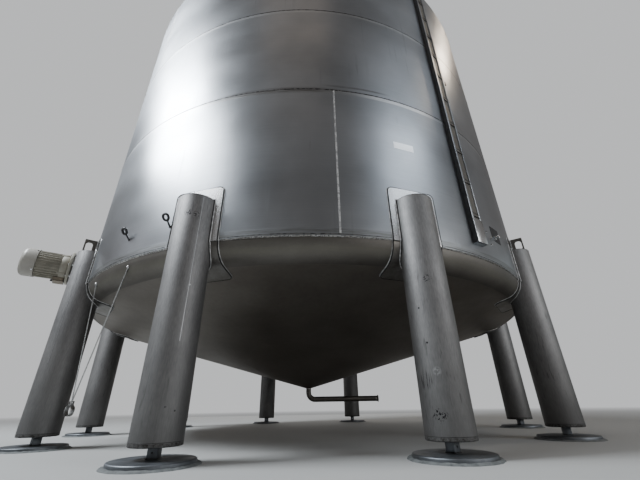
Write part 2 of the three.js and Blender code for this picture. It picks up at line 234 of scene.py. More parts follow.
def addSpline(curve, points, closed):
    spline = curve.splines.new("POLY")
    spline.points.add(len(points) - 1)
    for point, place in zip(spline.points, points):
        point.co = (*place, 1)
    spline.use_cyclic_u = closed


# A round bar, weld bead or pipe along a line of points
def sweep(points, radius, closed=False, sides=8):
    curve = bpy.data.curves.new("line", "CURVE")
    curve.dimensions = "3D"
    curve.bevel_depth = radius
    curve.bevel_resolution = sides // 4
    curve.use_fill_caps = not closed
    addSpline(curve, points, closed)
    return meshOfCurve(curve)


# A flat plate with an outline and holes, lying in XY, thickness along Z
def flatPlate(outer, holes, thickness, edge):
    curve = bpy.data.curves.new("plate", "CURVE")
    curve.dimensions = "2D"
    curve.fill_mode = "BOTH"
    curve.extrude = thickness / 2 - edge
    curve.bevel_depth = edge
    curve.bevel_resolution = 1
    curve.offset = -edge
    for points in [outer, *holes]:
        addSpline(curve, [(x, y, 0) for x, y in points], True)
    return meshOfCurve(curve)


# The first shape with the other cut out of it, or kept inside it
def carved(bm, cutter, operation="DIFFERENCE"):
    body, tool = [newObject("carve", meshFrom(shape)) for shape in (bm, cutter)]
    cut = body.modifiers.new("cut", "BOOLEAN")
    cut.object = tool
    cut.operation = operation
    cut.solver = "EXACT"
    bpy.context.view_layer.update()
    mesh = bpy.data.meshes.new_from_object(body.evaluated_get(bpy.context.evaluated_depsgraph_get()))
    made = bmesh.new()
    made.from_mesh(mesh)
    bpy.data.objects.remove(body)
    bpy.data.objects.remove(tool)
    bpy.data.meshes.remove(mesh)
    return made


def makePiece(name, bm, material, replaced=(), sharpAngle=35):
    mesh = meshFrom(bm, name)
    mesh.polygons.foreach_set("use_smooth", [True] * len(mesh.polygons))
    mesh.set_sharp_from_angle(angle=radians(sharpAngle))
    mesh.materials.append(material)
    piece = newObject(name, mesh)
    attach(piece, "root")
    if replaced:
        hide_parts(*replaced)


# Building finishes from nodes. A socket's id_data is the node tree that it is in.
def addNode(tree, kind, inputs=None, **settings):
    node = tree.nodes.new("ShaderNode" + kind)
    for key, value in settings.items():
        setattr(node, key, value)
    for key, value in (inputs or {}).items():
        if isinstance(value, bpy.types.NodeSocket):
            tree.links.new(value, node.inputs[key])
        else:
            node.inputs[key].default_value = value
    return node


def calc(operation, first, second=0.0):
    return addNode(first.id_data, "Math", {0: first, 1: second}, operation=operation).outputs[0]


def times(first, second):
    return calc("MULTIPLY", first, second)


def plus(first, second):
    return calc("ADD", first, second)


def mapped(value, fromMin, fromMax, toMin=0.0, toMax=1.0):
    ends = {"Value": value, "From Min": fromMin, "From Max": fromMax, "To Min": toMin, "To Max": toMax}
    return addNode(value.id_data, "MapRange", ends).outputs[0]


def tinted(share, first, second):
    tones = [(*tone, 1) if isinstance(tone, tuple) else tone for tone in (first, second)]
    return addNode(share.id_data, "Mix", {0: share, 6: tones[0], 7: tones[1]}, data_type="RGBA").outputs[2]


def bumped(height, strength, distance, **under):
    inputs = {"Height": height, "Strength": strength, "Distance": distance, **under}
    return addNode(height.id_data, "Bump", inputs).outputs[0]


def noiseAt(place, scale, detail, stretch=(1, 1, 1), roughness=0.5):
    spot = addNode(place.id_data, "Mapping", {"Vector": place, "Scale": stretch}).outputs[0]
    inputs = {"Vector": spot, "Scale": scale, "Detail": detail, "Roughness": roughness}
    return addNode(place.id_data, "TexNoise", inputs).outputs["Fac"]


# How close a point is to one of some heights: 1 on the line, 0 past halfWidth
def nearHeights(place, heights, halfWidth, soft):
    z = addNode(place.id_data, "SeparateXYZ", {0: place}).outputs["Z"]
    total = None
    for height in heights:
        near = mapped(calc("ABSOLUTE", calc("SUBTRACT", z, height)), halfWidth * (1 - soft), halfWidth, 1, 0)
        total = near if total is None else calc("MAXIMUM", total, near)
    return total


# How close it is to one point: 1 inside about half the reach, 0 past it
def nearPoint(place, point, reach):
    away = addNode(place.id_data, "VectorMath", {0: place, 1: point}, operation="DISTANCE").outputs["Value"]
    return mapped(away, reach * 0.55, reach, 1, 0)


def newFinish(name):
    material = bpy.data.materials.new(name)
    material.use_nodes = True
    tree = material.node_tree
    return material, tree.nodes["Principled BSDF"], addNode(tree, "TexCoord").outputs["Object"]


def setShader(shader, colour, rough, normal, metallic):
    for key, socket in (("Base Color", colour), ("Roughness", rough), ("Normal", normal)):
        shader.id_data.links.new(socket, shader.inputs[key])
    shader.inputs["Metallic"].default_value = metallic


# Bare steel: fine grain one way, cloudy patches, bands (ground metal, burnt metal, painted shade, a painted
# reflection), scuffs and marked spots
def steelFinish(name, look):
    material, shader, place = newFinish(name)
    grain = noiseAt(place, 1, 4, look["grain"], 0.6)
    cloud = noiseAt(place, look["cloud"], 5)
    grainShare = look.get("grainShare", 0.25)
    blend = plus(times(grain, grainShare), times(cloud, 1 - grainShare))
    colour = tinted(mapped(blend, 0.34, 0.66), look["dark"], look["light"])
    rough = mapped(noiseAt(place, 1, 3, look["smear"]), 0.33, 0.67, *look["roughness"])
    for band in look.get("bands", ()):
        near = nearHeights(place, band["heights"], band["width"], band.get("soft", 0.35))
        if "around" in band:
            near = times(near, nearPoint(place, band["around"], band["reach"]))
        mottle = noiseAt(place, 1, 4, band["grain"], 0.7)
        colour = tinted(times(near, mapped(mottle, 0.35, 0.65, *band["share"])), colour, band["tone"])
        rough = plus(rough, times(near, band["rougher"]))
    if "scuffs" in look:
        scratch = mapped(noiseAt(place, 1, 2, look["scuffGrain"]), 0.62, 0.70)
        worn = times(scratch, mapped(noiseAt(place, 2.3, 2), 0.5, 0.64, 0, look["scuffs"]))
        colour = tinted(worn, colour, (0.06, 0.055, 0.05))
        rough = plus(rough, times(worn, 0.3))
    for point, size, speck, tone, cut in look.get("spots", ()):  # broken by noise, fading out at the rim
        broken = mapped(noiseAt(place, 1, 2, speck, 0.6), cut, cut + 0.06)
        colour = tinted(times(nearPoint(place, point, size), broken), colour, tone)
    fine = bumped(plus(grain, times(noiseAt(place, 260, 2), 0.4)), look["bump"], 0.0006)
    broad = bumped(noiseAt(place, look["wave"], 1.5), look["waveBump"], 0.02, Normal=fine)
    setShader(shader, colour, rough, broad, 1.0)
    return material


burntTone = (0.15, 0.145, 0.14)
shellSteel = steelFinish("shellSteel", {
    "dark": (0.318, 0.336, 0.358), "light": (0.465, 0.485, 0.510), "roughness": (0.275, 0.365),
    "grain": (2, 2, 300), "cloud": 1.5, "smear": (0.7, 0.7, 1.6), "bump": 0.05, "wave": 1.4,
    "waveBump": 0.025, "scuffs": 0.22, "scuffGrain": (22, 22, 0.9),
    "bands": [
        {  # dull metal above the lap
            "heights": [lapHeight + 0.028], "width": 0.030, "soft": 0.25, "grain": (3, 3, 70),
            "share": (0.2, 0.95), "tone": (0.17, 0.172, 0.163), "rougher": 0.07,
        },
        {  # ground metal under both seams
            "heights": [height - 0.020 for height in seamHeights], "width": 0.026, "grain": (2, 2, 40),
            "share": (0, 0.5), "tone": (0.66, 0.66, 0.65), "rougher": 0.04,
        },
        {  # brightly ground at one place
            "heights": [seamHeights[0] - 0.024], "width": 0.026, "grain": (4, 4, 60), "share": (0.5, 1),
            "tone": (0.72, 0.73, 0.74), "rougher": 0.04, "around": (0.80, -2.40, 2.64), "reach": 0.40,
        },
        {  # burnt along the lower seam's front, and in a thinner line above it
            "heights": [seamHeights[0] - 0.012], "width": 0.042, "soft": 0.6, "grain": (5, 5, 60),
            "share": (0.6, 1), "tone": burntTone, "rougher": 0.05,
            "around": (-0.30, -2.51, 2.66), "reach": 0.72,
        },
        {
            "heights": [seamHeights[0] + 0.050], "width": 0.016, "soft": 0.6, "grain": (5, 5, 60),
            "share": (0.3, 0.9), "tone": burntTone, "rougher": 0.05,
            "around": (0.42, -2.50, 2.70), "reach": 0.32,
        },
    ],
})
headLook = {  # what the heads' finishes share
    "grain": (30, 30, 60), "cloud": 2.5, "smear": (1.2, 1.2, 1.2),
    "bump": 0.08, "wave": 1.1, "waveBump": 0.03,
}
# painted shade: this steel is darker than the shell's, standing in for the shade and dark surroundings it
# reflects on the knuckle, the lugs, the duct's sunk middle and straps and the outlet pipe
shadeDarkSteel = steelFinish("shadeDarkSteel", {
    **headLook, "dark": (0.125, 0.116, 0.104), "light": (0.175, 0.164, 0.148), "roughness": (0.48, 0.60),
    "cloud": 3.5, "smear": (1.5, 1.5, 1.5),
    # painted reflection: a lighter olive band round the knuckle's middle
    "bands": [{
        "heights": [lapHeight - 0.085], "width": 0.040, "soft": 0.8, "grain": (2, 2, 30),
        "share": (0.2, 0.5), "tone": (0.20, 0.192, 0.158), "rougher": 0.03,
    }],
})
# painted shade: the cone's steel is darkened to stand in for the shade under the tank
shadeDarkConeSteel = steelFinish("shadeDarkConeSteel", {
    **headLook, "dark": (0.16, 0.142, 0.124), "light": (0.22, 0.202, 0.178), "roughness": (0.42, 0.55),
    "wave": 1.0,
})
roofSteel = steelFinish("roofSteel", {
    **headLook, "dark": (0.34, 0.345, 0.355), "light": (0.45, 0.45, 0.455), "roughness": (0.36, 0.48),
    "bump": 0.06,
})
darkMark, fadedMark = (0.012, 0.012, 0.014), (0.06, 0.06, 0.06)
# painted shade: the legs' steel is darkened to stand in for the dimmer light they reflect
shadeDarkLegSteel = steelFinish("shadeDarkLegSteel", {
    "dark": (0.176, 0.174, 0.174), "light": (0.294, 0.289, 0.285), "roughness": (0.54, 0.66),
    "grain": (150, 150, 24), "grainShare": 0.55, "cloud": 3.4, "smear": (5, 5, 1.2), "bump": 0.07,
    "wave": 3, "waveBump": 0.02, "scuffs": 0.3, "scuffGrain": (60, 60, 9),
    "bands": [
        {  # darker towards the floor
            "heights": [0], "width": 1.0, "soft": 1.0, "grain": (3, 3, 3), "share": (0.6, 0.95),
            "tone": (0.13, 0.128, 0.125), "rougher": 0.05,
        },
        {  # burnt metal at the lower rim
            "heights": [0.080], "width": 0.030, "soft": 0.3, "grain": (60, 60, 90), "share": (-0.3, 0.9),
            "tone": (0.04, 0.035, 0.03), "rougher": 0.10,
        },
    ],
    "spots": [  # place, size, grain, tone, and the noise level where each one breaks up
        ((-0.805, -2.542, 1.433), 0.030, (150, 150, 60), darkMark, 0.5),
        ((-0.752, -2.533, 1.426), 0.026, (60, 60, 150), darkMark, 0.5),
        ((-0.723, -2.518, 0.933), 0.007, (50, 50, 50), (0.5, 0.5, 0.5), 0.3),
        ((0.732, -2.548, 0.958), 0.030, (90, 90, 140), darkMark, 0.54),
        ((0.665, -2.508, 0.781), 0.007, (60, 60, 60), darkMark, 0.35),
        ((0.679, -2.521, 0.576), 0.007, (60, 60, 60), darkMark, 0.35),
        ((0.650, -2.487, 0.380), 0.055, (260, 260, 7), darkMark, 0.56),
        ((0.704, -2.538, 0.422), 0.026, (40, 40, 40), (0.31, 0.31, 0.31), 0.4),
        ((0.678, -2.520, 0.205), 0.042, (130, 130, 100), darkMark, 0.56),
        ((0.706, -2.538, 0.208), 0.022, (120, 120, 120), darkMark, 0.53),
        ((-0.698, -2.496, 0.250), 0.006, (60, 60, 60), fadedMark, 0.35),
        ((-0.739, -2.527, 0.268), 0.006, (60, 60, 60), fadedMark, 0.35),
    ],
})
padSteelShadedBelowLap = steelFinish("padSteelShadedBelowLap", {
    "dark": (0.62, 0.625, 0.63), "light": (0.74, 0.74, 0.74), "roughness": (0.20, 0.28),
    "grain": (60, 60, 60), "cloud": 4, "smear": (3, 3, 3), "bump": 0.05, "wave": 3, "waveBump": 0.02,
    # painted shade: the pad's part below the lap, on the knuckle, is darkened as if in shade
    "bands": [{
        "heights": [lapHeight - 0.204], "width": 0.200, "soft": 0.03, "grain": (9, 9, 9),
        "share": (0.85, 1), "tone": (0.145, 0.135, 0.12), "rougher": 0.20,
    }],
})
footSteel = steelFinish("footSteel", {
    "dark": (0.108, 0.116, 0.124), "light": (0.20, 0.213, 0.23), "roughness": (0.42, 0.60),
    "grain": (50, 50, 50), "cloud": 5, "smear": (8, 8, 8), "bump": 0.10, "wave": 6, "waveBump": 0.02,
    "scuffs": 0.5, "scuffGrain": (24, 40, 24),
})
fittingSteel = steelFinish("fittingSteel", {
    "dark": (0.38, 0.38, 0.38), "light": (0.58, 0.58, 0.57), "roughness": (0.22, 0.38),
    "grain": (120, 120, 120), "cloud": 20, "smear": (12, 12, 12), "bump": 0.08, "wave": 12, "waveBump": 0.02,
})
polishedSteel = steelFinish("polishedSteel", {
    "dark": (0.55, 0.555, 0.56), "light": (0.68, 0.68, 0.68), "roughness": (0.10, 0.20),
    "grain": (90, 90, 90), "cloud": 6, "smear": (4, 4, 4), "bump": 0.03, "wave": 9, "waveBump": 0.03,
})


# Weld bead: ripples along it, with burnt patches
def weldFinish(name, look):
    material, shader, place = newFinish(name)
    ripple = noiseAt(place, look["ripple"], 2)
    tint = tinted(mapped(noiseAt(place, look["patch"], 3), 0.35, 0.65), look["bright"], look["burnt"])
    colour = tinted(mapped(ripple, 0.44, 0.58), tint, look["dark"])
    rough = mapped(ripple, 0.3, 0.7, *look["roughness"])
    setShader(shader, colour, rough, bumped(ripple, 0.7, 0.002), look["metallic"])
    return material


beadSteel = weldFinish("beadSteel", {
    "bright": (0.50, 0.50, 0.49), "burnt": (0.33, 0.315, 0.29), "dark": (0.09, 0.09, 0.09),
    "ripple": 110, "patch": 9, "roughness": (0.28, 0.45), "metallic": 1,
})
# painted shade: near-black lines standing in for the shade in the leg's joint with its pad, along the pad's
# edge, under the leg's cap and round the foot's spindle; at the leg's lower rim the line is a dark seam
seamAndShadeLine = weldFinish("seamAndShadeLine", {
    "bright": (0.05, 0.05, 0.05), "burnt": (0.03, 0.028, 0.026), "dark": (0.012, 0.012, 0.012),
    "ripple": 60, "patch": 6, "roughness": (0.45, 0.6), "metallic": 0.5,
})
seamSteel = weldFinish("seamSteel", {
    "bright": (0.20, 0.20, 0.20), "burnt": (0.10, 0.097, 0.094), "dark": (0.02, 0.02, 0.02),
    "ripple": 42, "patch": 3, "roughness": (0.35, 0.5), "metallic": 0.9,
})
lightSeam = weldFinish("lightSeam", {
    "bright": (0.80, 0.80, 0.79), "burnt": (0.62, 0.62, 0.61), "dark": (0.40, 0.40, 0.40),
    "ripple": 45, "patch": 6, "roughness": (0.4, 0.5), "metallic": 0.6,
})


# Paint, stone or dull dark metal: two tones of cloud, and dust on what faces up
def paintFinish(name, look):
    material, shader, place = newFinish(name)
    cloud = noiseAt(place, look["cloud"], 4)
    speck = noiseAt(place, look["speck"], 3)
    facing = addNode(place.id_data, "NewGeometry").outputs["Normal"]
    up = addNode(place.id_data, "SeparateXYZ", {0: facing}).outputs["Z"]
    dust = times(mapped(up, 0.2, 0.95, 0, look["dust"]), mapped(speck, 0.3, 0.6, 0.3, 1))
    colour = tinted(mapped(cloud, 0.35, 0.65), look["dark"], look["light"])
    rough = mapped(cloud, 0.35, 0.65, *look["roughness"])
    bump = bumped(speck, look["bump"], 0.0008)
    setShader(shader, tinted(dust, colour, look["dustTone"]), rough, bump, look.get("metallic", 0))
    return material


motorPaint = paintFinish("motorPaint", {
    "dark": (0.27, 0.25, 0.205), "light": (0.35, 0.33, 0.27), "cloud": 14, "speck": 260, "dust": 0.3,
    "dustTone": (0.34, 0.32, 0.27), "roughness": (0.38, 0.55), "bump": 0.12,
})
barrelPaint = paintFinish("barrelPaint", {
    "dark": (0.20, 0.185, 0.145), "light": (0.27, 0.25, 0.20), "cloud": 14, "speck": 260, "dust": 0.5,
    "dustTone": (0.34, 0.32, 0.27), "roughness": (0.45, 0.6), "bump": 0.15,
})
coverPaint = paintFinish("coverPaint", {
    "dark": (0.30, 0.282, 0.25), "light": (0.36, 0.34, 0.303), "cloud": 9, "speck": 320, "dust": 0.25,
    "dustTone": (0.45, 0.43, 0.39), "roughness": (0.34, 0.5), "bump": 0.10,
})
boxPaint = paintFinish("boxPaint", {
    "dark": (0.20, 0.165, 0.12), "light": (0.26, 0.215, 0.16), "cloud": 20, "speck": 260, "dust": 0.3,
    "dustTone": (0.40, 0.35, 0.28), "roughness": (0.4, 0.55), "bump": 0.10,
})
darkMetal = paintFinish("darkMetal", {
    "dark": (0.020, 0.020, 0.022), "light": (0.045, 0.044, 0.045), "cloud": 22, "speck": 240, "dust": 0.35,
    "dustTone": (0.10, 0.095, 0.09), "roughness": (0.40, 0.62), "bump": 0.25, "metallic": 0.4,
})
blankLabel = paintFinish("blankLabel", {
    "dark": (0.93, 0.935, 0.94), "light": (0.97, 0.97, 0.97), "cloud": 20, "speck": 400, "dust": 0.1,
    "dustTone": (0.9, 0.89, 0.87), "roughness": (0.28, 0.36), "bump": 0.05, "metallic": 0.8,
})
groutStone = paintFinish("groutStone", {
    "dark": (0.06, 0.066, 0.066), "light": (0.15, 0.16, 0.16), "cloud": 30, "speck": 150, "dust": 0.3,
    "dustTone": (0.20, 0.21, 0.21), "roughness": (0.8, 0.95), "bump": 0.9,
})
print("finishes made")


# Profiles of the heads as (radius, height away from the lap seam)
def coneHeight(radius):
    return coneFootHeight + (coneFootRadius - radius) * tank["coneSlope"]


def kneeArc(grow, steps=12):
    return arc(kneeCentre, 0, tank["kneeRadius"] + grow, 0, 90 - degrees(coneAngle), steps)


def kneeProfile():
    foot, wall = -tank["skirt"], tank["wall"]
    return [(headRadius, foot)] + kneeArc(0) + kneeArc(-wall)[::-1] + [(headRadius - wall, foot)]


def coneProfile(holeRadius):
    edge = coneFootRadius - tank["gap"]
    rise = tank["wall"] / cos(coneAngle)
    outside = [(radius, coneHeight(radius)) for radius in (edge, 1.8, 1.2, 0.6, holeRadius)]
    return outside + [(radius, height - rise) for radius, height in outside[::-1]]


def below(profile):
    return [(radius, lapHeight - height) for radius, height in profile]


def above(profile):
    return [(radius, rimHeight + height) for radius, height in profile]


# The tank's outside grown by grow, from a height on the shell down to a radius on the cone
def skin(grow, high, inner):
    points = [(tankRadius + grow, high), (tankRadius + grow, lapHeight - grow)]
    points += below(kneeArc(grow, 16))[1:]
    return points + [(inner, lapHeight - coneHeight(inner) - grow / cos(coneAngle))]


# The height of that outside below the lap, at a distance from the tank's axis
def skinHeight(radius, grow):
    line = skin(grow, rimHeight, 0)[1:]
    for (farRadius, high), (nearRadius, low) in zip(line, line[1:]):
        if nearRadius <= radius <= farRadius:
            return low + (high - low) * (radius - nearRadius) / (farRadius - nearRadius)
    return lapHeight - grow


seam = {
    "bead": (0.016, 0.0012),  # width and rise of the beads round the tank
    "line": (0.008, 0.0008),  # and of the fine lines beside the lap and the rim
    "lineAway": 0.010,
    "upright": 0.013,
    "uprightRise": 0.0009,
    "uprightEnds": (0.018, 0.006),  # how far the upright beads stop short
    "steps": 240,
}
# Each course of plates: its height, and where the first of its three upright seams stands
courses = {
    "lower": (lapHeight, seamHeights[0], 4.8),
    "middle": (*seamHeights, 52.8),
    "upper": (seamHeights[1], rimHeight, 76.8),
}
uprightBeads = bmesh.new()
beadTurn = degrees(seam["upright"] / tankRadius)
for course, (low, high, firstSeam) in courses.items():
    wall = wallProfile(tankRadius - tank["wall"], tankRadius, low, high - tank["gap"])
    beadLow, beadHigh = low + seam["uprightEnds"][0], high - seam["uprightEnds"][1]
    bead = wallProfile(tankRadius - 0.001, tankRadius + seam["uprightRise"], beadLow, beadHigh)
    for i in range(3):
        turn = firstSeam + 120 * i
        plate = turned(wall, tank["steps"] // 3, True, turn, tank["plateTurn"])
        replaced = [f"shell_{course}_plate_{i + 1}"]
        makePiece(f"plate_{course}_{i + 1}", plate, shellSteel, replaced)
        joinInto(uprightBeads, turned(bead, 2, True, turn - beadTurn / 2, beadTurn))

outletHole = 0.0303  # just wider than the outlet pipe
for name, profile, material, replaced in (
    ("bottomKnuckle", below(kneeProfile()), shadeDarkSteel, "bottom_knuckle"),
    ("bottomCone", below(coneProfile(outletHole)), shadeDarkConeSteel, "bottom_cone"),
    ("roofKnuckle", above(kneeProfile()), roofSteel, "roof_knuckle"),
):
    makePiece(name, turned(profile, tank["steps"], True), material, [replaced])


# A low bead round the tank
def ringBead(height, width, rise):
    foot, side = tankRadius - 0.001, tankRadius + rise * 0.6
    profile = [
        (foot, height - width / 2), (side, height - width * 0.3), (tankRadius + rise, height),
        (side, height + width * 0.3), (foot, height + width / 2),
    ]
    return turned(profile, seam["steps"], True)


for name, height, size in (
    ("seamBead_1", seamHeights[0], seam["bead"]),
    ("seamBead_2", seamHeights[1], seam["bead"]),
    ("lapLine", lapHeight + seam["lineAway"], seam["line"]),
    ("rimLine", rimHeight - seam["lineAway"], seam["line"]),
):
    makePiece(name, ringBead(height, *size), seamSteel)
makePiece("uprightBeads", uprightBeads, lightSeam)

# Fillet where the shell's edge is welded to the knuckle, and its mirror at the rim
lapEdge = [
    (headRadius - 0.001, -0.002), (tankRadius - 0.0008, -0.001), (tankRadius - 0.0022, 0.0030),
    (headRadius + 0.0035, 0.0068), (headRadius - 0.001, 0.0092),
]
for name, profile in (("lapWeld", below(lapEdge)), ("rimWeld", above(lapEdge))):
    makePiece(name, turned(profile, seam["steps"], True), beadSteel)
print("tank made")


# Legs: closed tubes, each on a pad that follows the shell and the knuckle
leg = {
    "ring": 2.535,  # the legs' axes lie on a circle of this radius
    "radius": 0.1365,
    "bottom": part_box("leg_01")[0].z,
    "top": 1.587,
    "cutTop": 2.2,  # the tank's outside is cut away from the tube up to here
    "edge": 0.007,  # rounding of the closed lower end
    "seamAndShadeLine": 0.0048,
    "bead": 0.0040,
    "rims": ((-0.004, 0.0006), (0.022, 0.0008)),  # the thin dark lines' way from either end, and their inset
    "rimLine": 0.0016,
    "seamTurn": 51,
    "highlightAngle": 1.05,
    "highlightBottom": 0.60,  # the painted highlight stops below this
    "joint": (1.52, 1.45, 1.38, 1.31),  # points of the joint with the pad above the lap
}
pad = {
    "thickness": 0.008,
    "width": 0.388,
    "inner": 2.285,  # distance from the tank's axis to the pad's lower end
    "top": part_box("leg_01")[1].z,
    "corner": 0.034,
    "sides": (1.60, 1.50, 1.40, 1.33),  # points of its outline above the lap
    "line": 0.0032,
    "bead": 0.0030,
}
padFace = tank["gap"] + pad["thickness"]


def padShape():
    half = degrees(pad["width"] / 2 / tankRadius) + 0.6
    x, high, inner = pad["width"] / 2, pad["top"] + 0.02, pad["inner"] - 0.05
    profile = skin(padFace, high, inner) + skin(tank["gap"], high, inner)[::-1]
    sheet = turned(profile, 20, True, -half, 2 * half)
    front = prism(roundedBox(-x, 0.7, x, pad["top"], pad["corner"]), 0, 3)
    plan = prism(roundedBox(-x, -3, x, -pad["inner"], pad["corner"]), 0.5, 2)
    return carved(carved(sheet, rotated(front, 90, "X"), "INTERSECT"), plan, "INTERSECT")


# The pad's outline on a surface grown by grow, drawn in from its edge by inset
def padOutline(grow, inset):
    x, corner = pad["width"] / 2 - inset, pad["corner"] - inset
    radius, top = tankRadius + grow, pad["top"] - inset
    inner = pad["inner"] + inset
    side = arc(x - corner, top - corner, corner, 90, 0, 6) + [(x, z) for z in pad["sides"]]
    line = [(aside, -sqrt(radius ** 2 - aside ** 2), z) for aside, z in side]
    for distance, z in skin(grow, top, 0)[1:-1]:
        if distance > hypot(x, inner + corner) + 0.01:
            line.append((x, -sqrt(distance ** 2 - x ** 2), z))
    for aside, y in arc(x - corner, -inner - corner, corner, 0, 90, 6):
        line.append((aside, y, skinHeight(hypot(aside, y), grow)))
    return line + [(-aside, y, z) for aside, y, z in line[::-1]]


# Where a tube this much wider than the leg meets the pad, as a closed line over its top
def legSeam(wider):
    tube, radius, ring = leg["radius"] + wider, tankRadius + padFace, leg["ring"]
    start = acos((radius ** 2 - tube ** 2 - ring ** 2) / (2 * ring * tube))
    side = []
    for z in (leg["top"] + wider, *leg["joint"], lapHeight):
        side.append((tube * sin(start), -ring - tube * cos(start), z))
    for i in range(25):
        angle = start + (pi - start) * (i / 24) ** 2
        x, y = tube * sin(angle), -ring - tube * cos(angle)
        side.append((x, y, skinHeight(hypot(x, y), padFace)))
    x, y, top = side[0]
    half = degrees(atan2(x, -y))
    over = [(px, -py, top) for px, py in arc(0, 0, radius, 90 + half, 90 - half, 10)[1:-1]]
    return side + [(-px, py, z) for px, py, z in side[-2::-1]] + over


def legTube():
    low, high, radius, edge = leg["bottom"], leg["top"], leg["radius"], leg["edge"]
    profile = (
        [(0, low), (radius - edge, low)]
        + arc(radius - edge, low + edge, edge, -90, 0, 5)[1:]
        + [(radius, 0.5), (radius, 1.0), (radius, high - 0.003)]
        + arc(radius - 0.003, high - 0.003, 0.003, 0, 90, 3)[1:]
        + [(radius - 0.0065, high), (radius - 0.0075, high - 0.0012), (radius - 0.0085, high), (0, high)]
    )
    tube = moved(turned(profile, 56), 0, -leg["ring"])
    cutter = [(0, leg["cutTop"])] + skin(padFace - pad["thickness"] / 2, leg["cutTop"], 0)
    return carved(tube, turned(cutter, 240))


# Thin dark lines: a painted shadow under the leg's closed top, and a dark seam round its lower rim
def legRims():
    lines = bmesh.new()
    for end, (away, inset) in zip((leg["top"], leg["bottom"]), leg["rims"]):
        rim = [(*point, end + away) for point in circle(0, 0, leg["radius"] - inset, 56)]
        joinInto(lines, sweep(rim, leg["rimLine"], True))
    return moved(lines, 0, -leg["ring"])


# A painted highlight along a leg's tube: a thin raised strip of lighter steel
def legHighlightStrip():
    radius = leg["radius"]
    line = wallProfile(radius - 0.001, radius + 0.0005, leg["highlightBottom"], leg["top"] - 0.012)
    return moved(turned(line, 2, True, leg["seamTurn"], leg["highlightAngle"]), 0, -leg["ring"])


lug = {
    "reach": 0.104,
    "height": 0.150,
    "thickness": 0.020,
    "corner": 0.006,
    "slot": (0.034, 0.028, 0.090, 0.124),  # nearest and lowest, farthest and highest corner
    "slotCorner": 0.0224,
    "bead": 0.0040,
    "legs": (1, 3, 6, 8),
}


def liftingLug():
    reach, high, corner = lug["reach"], lug["height"], lug["corner"]
    shape = [(-0.002, -0.002), (reach, -0.002), (reach, high - corner)]
    shape += arc(reach - corner, high - corner, corner, 0, 90, 4)[1:] + [(-0.002, high)]
    plate = flatPlate(shape, [roundedBox(*lug["slot"], lug["slotCorner"])], lug["thickness"], 0.0012)
    face, foot = -tankRadius - padFace, leg["top"]
    moved(rotated(rotated(plate, 90, "X"), -90, "Z"), 0, face, foot)
    corners = ((face, foot + high), (face, foot + 0.001), (face - reach, foot + 0.001))
    x = lug["thickness"] / 2 + 0.001
    return plate, joinInto(*[sweep([(side, *point) for point in corners], lug["bead"]) for side in (-x, x)])


tubeShape = legTube()
padSolid = bevelAll(padShape(), 0.0012, 1, 60)
# painted shade along the leg's joint with its pad, the pad's edge and the leg's top; a dark seam at its
# lower rim
darkLines = sweep(legSeam(0), leg["seamAndShadeLine"], True)
joinInto(darkLines, sweep(padOutline(padFace, -0.003), pad["line"], True), legRims())
brightLines = sweep(legSeam(0.008), leg["bead"], True)
joinInto(brightLines, sweep(padOutline(tank["gap"], -0.0075), pad["bead"], True))
lugPlate, lugWeld = liftingLug()
for i, turn in enumerate(legTurns):
    number, spot = f"{i + 1:02d}", turnMatrix(turn)
    tube = placed(tubeShape.copy(), spot)
    makePiece(f"leg_tube_{number}", tube, shadeDarkLegSteel, [f"leg_{number}"])
    makePiece(f"leg_highlight_{number}", placed(legHighlightStrip(), spot), roofSteel)
    makePiece(f"leg_pad_{number}", placed(padSolid.copy(), spot), padSteelShadedBelowLap)
    welds = brightLines.copy()
    if i in lug["legs"]:
        # the lug plate is in the steel darkened with painted shade
        makePiece(f"lug_{number}", placed(lugPlate.copy(), spot), shadeDarkSteel)
        joinInto(welds, lugWeld.copy())
    makePiece(f"leg_weld_{number}", placed(welds, spot), lightSeam, sharpAngle=70)
    makePiece(f"leg_line_{number}", placed(darkLines.copy(), spot), seamAndShadeLine, sharpAngle=70)
print("legs made")


# Feet: a round plate with a square spindle, bedded in a rough ring of grout
foot = {
    "radius": 0.218,
    "height": 0.028,
    "edge": 0.009,
    "spindle": 0.055,
    "spindleTurn": 17,
    "hole": 0.0065,
    "holeHeight": 0.058,
    "groutRadius": 0.238,
    "groutHeight": 0.010,
    "grain": (28, 90),  # how fine the grout's lumps and grit are
    "ragged": (0.020, 0.010),  # and how far they stand out, as a share of the radius
    "lumpy": (0.0035, 0.002),  # and up
}
spindleTop = leg["bottom"] - tank["gap"]


def footShape():
    radius, high, edge, side = foot["radius"], foot["height"], foot["edge"], foot["spindle"]
    profile = (
        [(0, 0), (radius - 0.002, 0), (radius, 0.002), (radius, high - edge)]
        + arc(radius - edge, high - edge, edge, 0, 90, 6)[1:]
        + [(0.06, high + 0.0015), (0, high + 0.0015)]
    )
    spindle = moved(block(side, side, spindleTop - 0.02, 0.003), 0, 0, (spindleTop + 0.02) / 2)
    pin = moved(rotated(drum(foot["hole"], -0.1, 0.1, steps=24), 90, "X"), 0, 0, foot["holeHeight"])
    return joinInto(turned(profile, 72), rotated(carved(spindle, pin), foot["spindleTurn"], "Z"))


# near-black beads round the spindle's foot and top: a weld, darkened with painted shade in the gap under the
# leg
def footWeld():
    side = foot["spindle"] / 2
    corners = [(-side, -side), (side, -side), (side, side), (-side, side)]
    low = sweep([(x, y, foot["height"] + 0.002) for x, y in corners], 0.004, True)
    high = sweep([(x * 0.9, y * 0.9, spindleTop - 0.003) for x, y in corners], 0.0045, True)
    return rotated(joinInto(low, high), foot["spindleTurn"], "Z")


